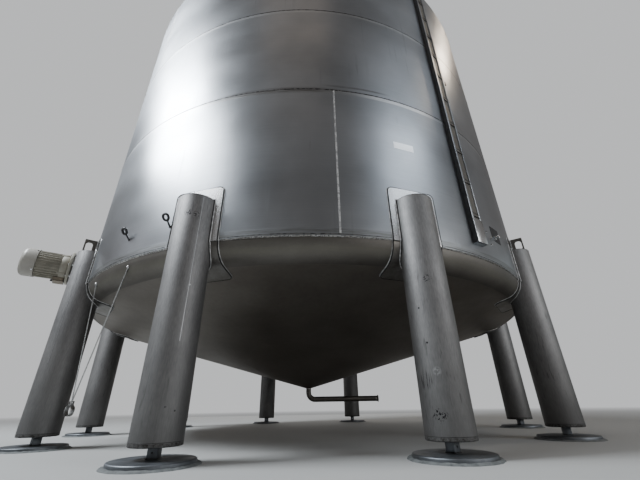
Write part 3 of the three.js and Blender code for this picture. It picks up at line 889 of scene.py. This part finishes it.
def groutRing(seed):
    radius, outside, high = foot["radius"], foot["groutRadius"], foot["groutHeight"]
    inside, floor = radius - 0.012, 0.001
    profile = [
        (inside, 0), (outside + 0.006, 0), (outside, high * 0.45), (outside - 0.010, high * 0.95),
        (radius + 0.003, high), (inside, high),
    ]
    bm = turned(profile, 110, True)
    for vert in bm.verts:
        if vert.co.z > floor or vert.co.xy.length > outside:
            lump = noise.noise(vert.co * foot["grain"][0] + Vector((seed, 0, 0)))
            grit = noise.noise(vert.co * foot["grain"][1] + Vector((0, seed, 0)))
            if vert.co.xy.length > radius:
                vert.co.xy *= 1 + foot["ragged"][0] * lump + foot["ragged"][1] * grit
            if vert.co.z > floor:
                vert.co.z = max(0, vert.co.z + foot["lumpy"][0] * lump + foot["lumpy"][1] * grit)
    return bm


plateShape, plateWeld = footShape(), footWeld()
for i, turn in enumerate(legTurns):
    number, spot = f"{i + 1:02d}", turnMatrix(turn) @ Matrix.Translation((0, -leg["ring"], 0))
    plate = placed(plateShape.copy(), spot)
    makePiece(f"foot_plate_{number}", plate, footSteel, [f"foot_{number}"])
    makePiece(f"foot_weld_{number}", placed(plateWeld.copy(), spot), seamAndShadeLine, sharpAngle=70)
    makePiece(f"grout_{number}", placed(groutRing(3.7 * i), spot), groutStone)
print("feet made")


# Cable duct: rails at both edges, a sunk middle crossed by straps, a smooth plate at its foot
duct = {
    "turn": 31.8,
    "offset": 0.008,
    "width": 0.125,
    "depth": 0.045,
    "sheet": 0.003,
    "rail": 0.024,
    "sunk": 0.008,
    "bottom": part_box("cable_duct")[0].z,
    "top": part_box("cable_duct")[1].z,
    "footPlate": (0.121, 0.0025, 0.213),
    "firstStrap": 1.63,
    "strapPitch": 0.336,
    "straps": 10,
    "strap": 0.030,
    "strapLine": (0.113, 0.009, 0.0055),
    "bracketHeight": 3.27,
    "bracketSole": (0.055, 0.006, 0.060),
    "bracketBlock": (0.035, 0.036, 0.050),
}
ductSpot = turnMatrix(duct["turn"]) @ Matrix.Translation((duct["offset"], 0, 0))
ductFace = tankRadius - 0.0025
ductFront = ductFace + duct["depth"]


def ductChannel():
    x, sheet, rail, sunk = duct["width"] / 2, duct["sheet"], duct["rail"], duct["sunk"]
    front, floor = -ductFront, -ductFront + sunk
    right = [(x, -ductFace), (x, front), (x - rail, front), (x - rail, floor)]
    right += [(-px, py) for px, py in right[::-1]]
    back, under = x - sheet, floor + sheet
    inside = [(-back, -ductFace), (-back, under), (back, under), (back, -ductFace)]
    channel = bevelAll(prism(right + inside, duct["bottom"], duct["top"]), 0.0010)
    sole = block(duct["width"] - 0.001, duct["depth"] - 0.001, sheet, 0.001)
    return joinInto(channel, moved(sole, 0, -ductFace - duct["depth"] / 2, duct["bottom"] + sheet / 2))


# The straps, and the near-black lines of painted shade at their edges and along the duct's left side, and a
# dark sheet of painted shade over the sunk middle
def ductStraps():
    strips, lines = bmesh.new(), bmesh.new()
    wide, depth = duct["width"] - 2 * duct["rail"], duct["sunk"] - 0.002
    high, middle = duct["top"] - duct["bottom"] - 0.004, (duct["top"] + duct["bottom"]) / 2
    for i in range(duct["straps"]):
        z = duct["firstStrap"] + duct["strapPitch"] * i
        strip = block(wide, depth, duct["strap"], 0.001)
        joinInto(strips, moved(strip, 0, -ductFront + duct["sunk"] - depth / 2, z))
        for edge in (z - duct["strap"] / 2, z + duct["strap"] / 2):
            joinInto(lines, moved(block(*duct["strapLine"], 0.001), 0, -ductFront + duct["sunk"] / 2, edge))
    side = block(0.001, duct["depth"] - 0.003, high)
    joinInto(lines, moved(side, -duct["width"] / 2, -ductFace - duct["depth"] / 2, middle))
    # painted shade: a thin sheet of the darkened steel over the sunk middle
    floor = moved(block(wide - 0.001, 0.001, high), 0, -ductFront + duct["sunk"] - 0.0004, middle)
    return strips, lines, floor


def ductBracket():
    x, z = duct["width"] / 2, duct["bracketHeight"]
    sole = moved(block(*duct["bracketSole"], 0.001), x + 0.028, -tankRadius - 0.003, z)
    return joinInto(sole, moved(block(*duct["bracketBlock"], 0.002), x + 0.018, -tankRadius - 0.020, z))


strips, lines, sunkShadeSheet = ductStraps()
footPlate = block(*duct["footPlate"], 0.001)
moved(footPlate, 0, -ductFront - 0.001, duct["bottom"] + duct["footPlate"][2] / 2)
for name, shape, material, slotName, *replaced in (
    ("ductChannel", ductChannel(), shellSteel, "shell_steel", "cable_duct"),
    ("ductSunkShadeSheet", sunkShadeSheet, shadeDarkSteel, "shell_steel"),
    ("ductStraps", strips, shadeDarkSteel, "shell_steel"),
    ("ductStrapShadeLines", lines, darkMetal, "dark_steel"),
    ("ductFootPlate", footPlate, padSteelShadedBelowLap, "shell_steel"),
    ("ductBracket", ductBracket(), darkMetal, "dark_steel"),
):
    makePiece(name, placed(shape, ductSpot), material, replaced)


# Thin blank plates bent to the shell: turns, heights and thickness
blanks = {
    "whiteLabel": (15.7, 19.9, 2.104, 2.172, 0.0005),
    "darkPlate": (38.3, 41.9, 1.501, 1.637, 0.0020),
}


def shellPatch(turnFrom, turnTo, low, high, thickness):
    sheet = wallProfile(tankRadius - 0.0004, tankRadius + thickness, low, high)
    return turned(sheet, 8, True, turnFrom, turnTo - turnFrom)


makePiece("whiteLabel", shellPatch(*blanks["whiteLabel"]), blankLabel)
makePiece("darkPlate", shellPatch(*blanks["darkPlate"]), darkMetal)


# A place on the shell whose own axis points straight out
def facingOut(turn, height):
    return turnMatrix(turn) @ Matrix.Translation((0, -tankRadius, height)) @ turnMatrix(90, "X")


probe = {
    "spot": (37.2, 1.490),  # turn and height
    "stack": (  # radius, both ends, rounding and faces round
        (0.0145, -0.004, 0.028, 0.001, 32),
        (0.020, 0.028, 0.046, 0.0015, 6),
        (0.0120, 0.046, 0.0735, 0.003, 28),
    ),
    "studs": ((36.1, 1.545, 0.013), (36.9, 1.437, 0.011)),  # turn, height and radius
}
body = placed(joinInto(bmesh.new(), *[drum(*part) for part in probe["stack"]]), facingOut(*probe["spot"]))
makePiece("probeBody", body, polishedSteel, ["temperature_probe"])
studs = bmesh.new()
for turn, height, radius in probe["studs"]:
    disc = joinInto(drum(radius, -0.002, 0.004, 0.001, 24), drum(radius * 0.55, 0.003, 0.011, 0.0015, 6))
    joinInto(studs, placed(disc, facingOut(turn, height)))
makePiece("shellStuds", studs, polishedSteel)


# Hooks: a bar out of the shell that ends in a ring, both in one leaning plane
hook = {
    "turns": (-33.5, -23.4),
    "height": 1.440,
    "aside": -0.010,
    "out": 0.045,
    "up": 0.060,
    "ring": 0.024,
    "wire": 0.0090,
    "stem": 0.0065,
}


def hookShape():
    face, foot, out, up = -tankRadius, hook["height"], hook["out"], hook["up"]
    eye = turned(circle(hook["ring"], 0, hook["wire"], 12), 36, True)
    rotated(eye, -degrees(atan2(up, out)), "X")
    share = 1 - hook["ring"] / hypot(out, up)
    tip = (hook["aside"] * share, face - out * share, foot + up * share)
    stem = sweep([(0, face + 0.004, foot - 0.005), tip], hook["stem"], sides=12)
    collar = moved(rotated(drum(0.010, -0.002, 0.004, 0.002, 20), 90, "X"), 0, face, foot)
    return joinInto(moved(eye, hook["aside"], face - out, foot + up), stem, collar)


for i, turn in enumerate(hook["turns"]):
    bar = placed(hookShape(), turnMatrix(turn))
    makePiece(f"hook_{i + 1}", bar, darkMetal, [f"shell_hook_{i + 1}"])

# Pipe hanger: two rods from the knuckle down to a split ring
hanger = {
    "turns": (-32.3, -44.7),
    "angles": (21.9, 27.4),  # how far down the knuckle's arc each rod starts
    "clamp": (-1.829, -1.556, 0.258),
    "clampTurn": -27,
    "bore": 0.0355,
    "wall": 0.004,
    "width": 0.032,
    "ear": (0.006, 0.032, 0.030),
    "rod": 0.0044,
    "knob": 0.013,
}


def hangerShape():
    bore, half = hanger["bore"], hanger["width"] / 2
    band = turned(wallProfile(bore, bore + hanger["wall"], -half, half), 48, True)
    clamp = rotated(bevelAll(band, 0.0007), 90, "X")
    for x in (-0.007, 0.007):
        joinInto(clamp, moved(block(*hanger["ear"], 0.001), x, 0, bore + 0.016))
    bolt = joinInto(drum(0.0045, -0.022, 0.022, 0.0005, 16), drum(0.009, 0.011, 0.018, 0.001, 6))
    joinInto(bolt, drum(0.009, -0.018, -0.011, 0.001, 6))
    joinInto(clamp, moved(rotated(bolt, 90, "Y"), 0, 0, bore + 0.020))
    moved(rotated(clamp, hanger["clampTurn"], "Z"), *hanger["clamp"])
    start = Vector(hanger["clamp"]) + Vector((0, 0, bore + 0.016))
    for turn, angle in zip(hanger["turns"], map(radians, hanger["angles"])):
        across = kneeCentre + tank["kneeRadius"] * cos(angle)
        stop = turnMatrix(turn) @ Vector((0, -across, lapHeight - tank["kneeRadius"] * sin(angle)))
        knob = bmesh.new()
        bmesh.ops.create_uvsphere(knob, u_segments=20, v_segments=12, radius=hanger["knob"])
        joinInto(clamp, sweep([start, stop], hanger["rod"], sides=12), moved(knob, *stop))
    return clamp


makePiece("hangerRods", hangerShape(), fittingSteel, ["pipe_hanger"])
print("shell fittings made")


# Agitator drive, made with its axis up and then laid down. Its axis meets the shell at one turn
# and points away at another, and its faces are measured along the axis from there.
drive = {
    "turn": -69,
    "axisTurn": -58.2,
    "height": 1.632,
    "neck": 0.120,
    "lip": 0.165,
    "lipThickness": 0.016,
    "nozzleFlange": (0.048, 0.068),
    "lantern": 0.095,
    "lanternWall": 0.020,
    "lanternEnd": 0.168,
    "seal": (0.045, 0.030),
    "bolt": 0.009,
    "bolts": 8,
    "boltRings": (0.142, 0.158),
    "studRing": 0.152,
    "stud": 0.012,
    "studs": 8,
    "shaft": 0.024,
    "flange": 0.175,
    "flangeFaces": (0.238, 0.260),
    "bell": 0.139,
    "bellFaces": (0.266, 0.330),
    "boss": 0.013,
    "barrel": 0.129,
    "fin": 0.008,
    "fins": 30,
    "finWidth": 0.0085,
    "cover": 0.1435,
    "coverRound": 0.044,
    "coverFaces": (0.533, 0.661),
    "holes": ((0.028, 6), (0.044, 10), (0.060, 14), (0.076, 18), (0.092, 22)),  # rings in the fan grille
    "hole": 0.0046,
}
nearFlange, farFlange = drive["nozzleFlange"]
driveTurn, driveFace = radians(drive["turn"]), drive["flangeFaces"][0] - tank["gap"]
driveFoot = (tankRadius * sin(driveTurn), -tankRadius * cos(driveTurn), drive["height"])
driveSpot = Matrix.Translation(driveFoot) @ turnMatrix(drive["axisTurn"]) @ turnMatrix(90, "X")


def boltCircle(radius, z):
    size = drive["bolt"]
    bolt = joinInto(drum(size * 1.15, z, z + 0.002, 0.0005, 20), drum(size, z + 0.001, z + size, 0.0012, 6))
    return ringed(bolt, radius, drive["bolts"])


# The line where a drum round the drive's axis meets the shell
def driveSeam(radius):
    along = (driveSpot.to_3x3() @ Vector((0, 0, 1))).normalized()
    line = []
    for x, y in circle(0, 0, radius, 60):
        start = driveSpot @ Vector((x, y, 0))
        half = start.xy.dot(along.xy)
        short = start.xy.length_squared - tankRadius ** 2
        line.append(start + along * (sqrt(half * half - short) - half))
    return line


def nozzleWelds():
    line = [(x, y, nearFlange) for x, y in circle(0, 0, drive["neck"], 60)]
    welds = sweep(driveSeam(drive["neck"] + 0.002), 0.006, True)
    return joinInto(welds, placed(sweep(line, 0.004, True), driveSpot))


def lanternShape():
    lip, radius, wall = drive["lipThickness"], drive["lantern"], drive["lanternWall"]
    low, high = farFlange + lip, drive["lanternEnd"] - lip
    cage = turned(wallProfile(radius - wall, radius, low, high), 64, True)
    for tilt in (0, 90):
        window = moved(block(3 * radius, 0.9 * radius, high - low - lip, 0.006, 3), 0, 0, (low + high) / 2)
        cage = carved(cage, rotated(window, tilt, "Z"))
    bevelAll(cage, 0.0012)
    for start in (farFlange, high):
        joinInto(cage, drum(drive["lip"], start, start + lip, 0.002, 72))
    sealRadius, sealHeight = drive["seal"]
    seal = drum(sealRadius, low, low + sealHeight, 0.004, 40)
    return joinInto(cage, seal, drum(drive["shaft"], farFlange, driveFace, 0, 32))


def driveStuds():
    start, size = drive["lanternEnd"] - 0.001, drive["stud"]
    stud = drum(size, start, driveFace, 0, 24)
    for z in (start + 0.001, driveFace - 0.013):
        joinInto(stud, drum(size * 1.35, z, z + 0.012, 0.001, 6))
    return ringed(stud, drive["studRing"], drive["studs"])


# The motor's flange and end bell, with raised bosses where its long bolts end
def bellShape():
    near, far = drive["flangeFaces"]
    start, stop = drive["bellFaces"]
    radius = drive["bell"]
    profile = [(0, start), (radius - 0.010, start)] + arc(radius - 0.008, start + 0.008, 0.008, -90, 0, 5)
    profile += [(radius, stop - 0.010), (radius - 0.005, stop - 0.002), (0, stop)]
    boss = drum(drive["boss"], start + 0.006, stop + 0.014, 0.003, 20)
    return joinInto(
        drum(drive["flange"], near, far, 0.004, 72), drum(radius - 0.004, far - 0.001, start + 0.001, 0, 72),
        turned(profile, 72), fanned(moved(boss, radius - 0.006), 4, 45),
    )


def barrelShape():
    start, stop = drive["bellFaces"][1] - 0.002, drive["coverFaces"][0] - tank["gap"]
    fin = block(drive["fin"] + 0.004, drive["finWidth"], stop - start, 0.0015)
    moved(fin, drive["barrel"] + drive["fin"] / 2 - 0.002, 0, (start + stop) / 2)
    return joinInto(drum(drive["barrel"], start, stop, 0, 72), fanned(fin, drive["fins"]))


def coverShape():
    radius, edge = drive["cover"], drive["coverRound"]
    start, stop = drive["coverFaces"]
    outside = [(0, start), (radius - 0.001, start), (radius, start + 0.001)]
    outside += arc(radius - edge, stop - edge, edge, 0, 90, 10) + [(0, stop)]
    grille = bmesh.new()
    for distance, count in drive["holes"]:
        joinInto(grille, ringed(drum(drive["hole"], stop - 0.006, stop + 0.01, 0, 10), distance, count))
    return carved(turned(outside, 72), grille)


def coverScrews():
    screw = rotated(drum(0.008, 0, 0.005, 0.001, 16), 90, "Y")
    return fanned(moved(screw, drive["cover"] - 0.001, 0, drive["coverFaces"][0] + 0.014), 4, 45)


# A flat box saddled under the end bell, with its lid below and its cable gland at its outer end.
# In the drive's own frame down is towards -Y.
terminal = {
    "width": 0.112,
    "drop": 0.032,
    "faces": (0.268, 0.362),
    "lid": 0.010,
    "gland": 0.011,
    "glandLength": 0.022,
}
boxNear, boxFar = terminal["faces"]
boxMiddle, boxLength = (boxNear + boxFar) / 2, boxFar - boxNear
boxBottom = -drive["bell"] - terminal["drop"]


def terminalShape():
    width, drop, lid = terminal["width"], terminal["drop"], terminal["lid"]
    base = block(width, 2 * drop - lid - 0.002, boxLength, 0.005, 3)
    moved(base, 0, boxBottom + lid + 0.002 + drop - lid / 2 - 0.001, boxMiddle)
    base = carved(base, drum(drive["bell"] + tank["gap"], 0.2, 0.4, 0, 96))
    cover = block(width + 0.002, lid, boxLength + 0.002, 0.004, 3)
    return joinInto(base, moved(cover, 0, boxBottom + lid / 2, boxMiddle))


# The cable gland, and the dark joint between the box and its lid
def terminalGland():
    size = terminal["gland"]
    nut = drum(size + 0.002, boxFar - 0.001, boxFar + 0.008, 0.001, 6)
    gland = joinInto(nut, drum(size, boxFar + 0.006, boxFar + terminal["glandLength"], 0.003, 24))
    gasket = block(terminal["width"] - 0.003, 0.004, boxLength - 0.003)
    moved(gasket, 0, boxBottom + terminal["lid"], boxMiddle)
    return joinInto(moved(gland, 0, -drive["bell"] - terminal["drop"] / 2), gasket)


nozzle = drum(drive["neck"], -0.028, nearFlange + 0.001, 0, 64)
joinInto(nozzle, drum(drive["lip"], nearFlange, farFlange - tank["gap"], 0.002, 72))
makePiece("shellNozzle", placed(nozzle, driveSpot), fittingSteel, ["agitator_shell_flange"])
makePiece("nozzleWelds", nozzleWelds(), beadSteel, sharpAngle=70)
bolts = boltCircle(drive["boltRings"][0], farFlange + drive["lipThickness"])
joinInto(bolts, boltCircle(drive["boltRings"][1], drive["flangeFaces"][1]), driveStuds())
for name, shape, material, slotName, *replaced in (
    ("lanternCage", lanternShape(), darkMetal, "dark_steel", "agitator_lantern"),
    ("driveBolts", bolts, polishedSteel, "small_steel"),
    ("motorBell", bellShape(), motorPaint, "motor_paint", "motor_body"),
    ("motorBarrel", barrelShape(), barrelPaint, "motor_paint"),
    ("fanCover", coverShape(), coverPaint, "motor_paint", "motor_fan_cover"),
    ("coverScrews", coverScrews(), polishedSteel, "small_steel"),
    ("terminalBox", terminalShape(), boxPaint, "motor_paint", "motor_terminal_box"),
    ("terminalGland", terminalGland(), darkMetal, "dark_steel"),
):
    makePiece(name, placed(shape, driveSpot), material, replaced)
print("agitator drive made")


# Outlet: a bend from the tip of the cone to a level pipe that ends in a ferrule
outlet = {"radius": 0.030, "height": 0.337, "bend": 0.076, "reach": 0.850, "ferrule": 0.039}
pipeTop = lapHeight - coneHeight(outlet["radius"])


def outletShape():
    radius, high, bend, reach = outlet["radius"], outlet["height"], outlet["bend"], outlet["reach"]
    lip = outlet["ferrule"]
    line = [(x, 0, z) for x, z in arc(bend, high + bend, bend, 180, 270, 12)]
    end = [
        (radius - 0.0032, reach - 0.030), (radius, reach - 0.030), (radius + 0.001, reach - 0.010),
        (lip - 0.001, reach - 0.0065), (lip, reach - 0.003), (lip - 0.001, reach - 0.0005),
        (radius - 0.002, reach), (radius - 0.0032, reach - 0.001),
    ]
    pipe = sweep([(0, 0, pipeTop + 0.004), *line, (reach - 0.012, 0, high)], radius, sides=32)
    return joinInto(pipe, moved(rotated(turned(end, 48, True), 90, "Y"), 0, 0, high))


# Beads round the pipe, at two heights and at two places along it
def pipeWelds():
    radius = outlet["radius"]

    def bead(along, rise):
        return turned([(radius, along - 0.003), (radius + rise, along), (radius, along + 0.003)], 40, True)

    welds = joinInto(bead(pipeTop - 0.001, 0.0014), bead(outlet["height"] + outlet["bend"], 0.0014))
    level = joinInto(bead(outlet["bend"], 0.0013), bead(outlet["reach"] - 0.030, 0.0013))
    return joinInto(welds, moved(rotated(level, 90, "Y"), 0, 0, outlet["height"]))


# the outlet pipe is in the steel darkened with painted shade
makePiece("outletPipe", outletShape(), shadeDarkSteel, ["outlet_pipe"])
makePiece("pipeWelds", pipeWelds(), beadSteel, sharpAngle=70)

# Roof cone with its manway neck and lid
manway = {
    "radius": 0.235,
    "lip": 0.265,
    "wall": 0.008,
    "lid": 0.268,
    "rise": 0.044,
    "top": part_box("roof_cone")[1].z,
}
neckFoot = rimHeight + coneHeight(manway["radius"])


def manwayNeck():
    radius, lip, top = manway["radius"], manway["lip"], manway["top"]
    low, inside = neckFoot - 0.030, radius - manway["wall"]
    profile = [(radius, low), (radius, top - 0.014), (lip - 0.001, top - 0.014), (lip, top - 0.013)]
    profile += [(lip, top - 0.001), (lip - 0.001, top), (inside, top), (inside, low)]
    return turned(profile, 96, True)


def lidShape():
    edge, radius = manway["top"] + tank["gap"], manway["lid"]

    def dome(reach, base):
        return [(k / 10 * reach, base + manway["rise"] * (1 - (k / 10) ** 2)) for k in range(11)]

    outside = dome(radius - 0.020, edge + 0.012) + [(radius - 0.001, edge + 0.012), (radius, edge + 0.011)]
    inside = [(radius, edge + 0.001), (radius - 0.001, edge), (radius - 0.040, edge)]
    return turned(outside + inside + dome(radius - 0.040, edge + 0.006)[::-1], 96)


roof = joinInto(turned(above(coneProfile(manway["radius"] - 0.002)), tank["steps"], True), manwayNeck())
neckLine = [(*point, neckFoot + 0.002) for point in circle(0, 0, manway["radius"] + 0.001, 96)]
makePiece("roofCone", roof, roofSteel, ["roof_cone"])
makePiece("neckWeld", sweep(neckLine, 0.006, True), beadSteel, sharpAngle=70)
makePiece("manwayLid", lidShape(), roofSteel, ["manway_lid"])
print("outlet and roof made")


# Floor, light and camera
stage = {
    "floorSize": 80,
    "floorRoughness": 0.8,
    "floorTone": (0.40, 0.40, 0.39),
    "skyTone": (0.66, 0.67, 0.68),
    "roomTone": (0.155, 0.147, 0.142),
    "fade": (5.0, 22.0),  # the floor turns into the sky between these distances
}
# Soft boxes: place, the point they face, width and height in metres, power in watts, and tone
lights = {
    "window": ((-7.8, -3.2, 8.6), (0, -0.5, 2.6), 3.9, 2.8, 1980, (0.88, 0.94, 1.0)),
    "sideWindow": ((-8.5, -7.5, 9.5), (0, 0, 3.0), 2.4, 2.4, 215, (0.88, 0.94, 1.0)),
    "roofLight": ((7.9, -7.3, 8.6), (1, -2, 2.5), 4.2, 3.5, 101, (0.80, 0.90, 1.0)),
    "ceiling": ((6.6, -6.3, 8.6), (1, -2, 2.5), 7.0, 5.0, 34, (0.84, 0.91, 1.0)),
    "warmLamp": ((6.2, -0.9, 9.5), (0, 0, 4.0), 0.8, 0.9, 66, (1.0, 0.83, 0.64)),
    "warmCeiling": ((-0.7, -5.9, 9.5), (0, -2, 4.2), 3.4, 2.0, 5.5, (1.0, 0.78, 0.60)),
    "lowLeft": ((-8.7, -2.3, 3.6), (0, 0, 1.0), 5.0, 2.6, 10, (0.96, 0.94, 1.0)),
    "lowFront": ((6.0, -9.0, 2.6), (0, 0, 1.5), 2.6, 2.6, 92, (0.98, 0.98, 1.0)),
    "lowStrip": ((7.6, -5.7, 2.6), (0, -1, 1.0), 2.4, 3.0, 124, (0.95, 0.98, 1.0)),
    "lowRight": ((9.0, 1.5, 2.6), (0, 0, 1.0), 5.0, 3.0, 16, (0.80, 0.95, 1.0)),
    "lowBack": ((0, 8.5, 2.4), (0, 0, 0.4), 10.0, 3.4, 80, (1.0, 0.97, 0.93)),
    "back": ((0, 9, 8), (0, 0, 3), 8, 5, 130, (1, 1, 1)),
}
camera = {
    "lens": 18.64,
    "sensor": 36,
    "place": (0, -4.4636, 0.258),
    "yaw": 2.2,
    "pitch": 26.67,
    "roll": -0.98,
    "sight": 200,
}


# Two shaders mixed by a share and led to an output
def mixedShaders(share, first, second, out):
    both = addNode(share.id_data, "MixShader", {0: share, 1: first.outputs[0], 2: second.outputs[0]})
    share.id_data.links.new(both.outputs[0], out.inputs["Surface"])


# A pale floor that fades into the background far from the tank
def plainFloor():
    bm = bmesh.new()
    bmesh.ops.create_grid(bm, x_segments=2, y_segments=2, size=stage["floorSize"])
    floor = newObject("floor", meshFrom(bm, "floor"))
    material, shader, place = newFinish("floorFinish")
    tree = material.node_tree
    shader.inputs["Base Color"].default_value = (*stage["floorTone"], 1)
    shader.inputs["Roughness"].default_value = stage["floorRoughness"]
    away = addNode(tree, "VectorMath", {0: place}, operation="LENGTH").outputs["Value"]
    share = times(mapped(away, *stage["fade"]), addNode(tree, "LightPath").outputs["Is Camera Ray"])
    glow = addNode(tree, "Emission", {"Color": (*stage["skyTone"], 1), "Strength": 1})
    mixedShaders(share, shader, glow, tree.nodes["Material Output"])
    floor.data.materials.append(material)


def softBox(name, place, target, width, height, power, tone):
    light = bpy.data.lights.new(name, "AREA")
    light.shape = "RECTANGLE"
    light.size, light.size_y = width, height
    light.energy = power
    light.color = tone
    lamp = newObject(name, light)
    lamp.location = place
    lamp.visible_camera = False
    lamp.rotation_euler = (Vector(target) - Vector(place)).to_track_quat("-Z", "Y").to_euler()


def roomLight():
    world = bpy.data.worlds.new("room")
    bpy.context.scene.world = world
    world.use_nodes = True
    tree = world.node_tree
    tree.nodes.clear()
    sky = addNode(tree, "Background", {"Color": (*stage["skyTone"], 1), "Strength": 1})
    room = addNode(tree, "Background", {"Color": (*stage["roomTone"], 1), "Strength": 1})
    seen = addNode(tree, "LightPath").outputs["Is Camera Ray"]
    mixedShaders(seen, room, sky, addNode(tree, "OutputWorld"))


def photoCamera():
    lens = bpy.data.cameras.new("camera")
    lens.sensor_width = camera["sensor"]
    lens.lens = camera["lens"]
    lens.clip_end = camera["sight"]
    holder = newObject("camera", lens)
    turn = turnMatrix(-camera["yaw"]) @ turnMatrix(90 + camera["pitch"], "X") @ turnMatrix(camera["roll"])
    holder.matrix_world = Matrix.Translation(camera["place"]) @ turn
    bpy.context.scene.camera = holder


plainFloor()
roomLight()
for name, settings in lights.items():
    softBox(name, *settings)
photoCamera()

print("scene made")
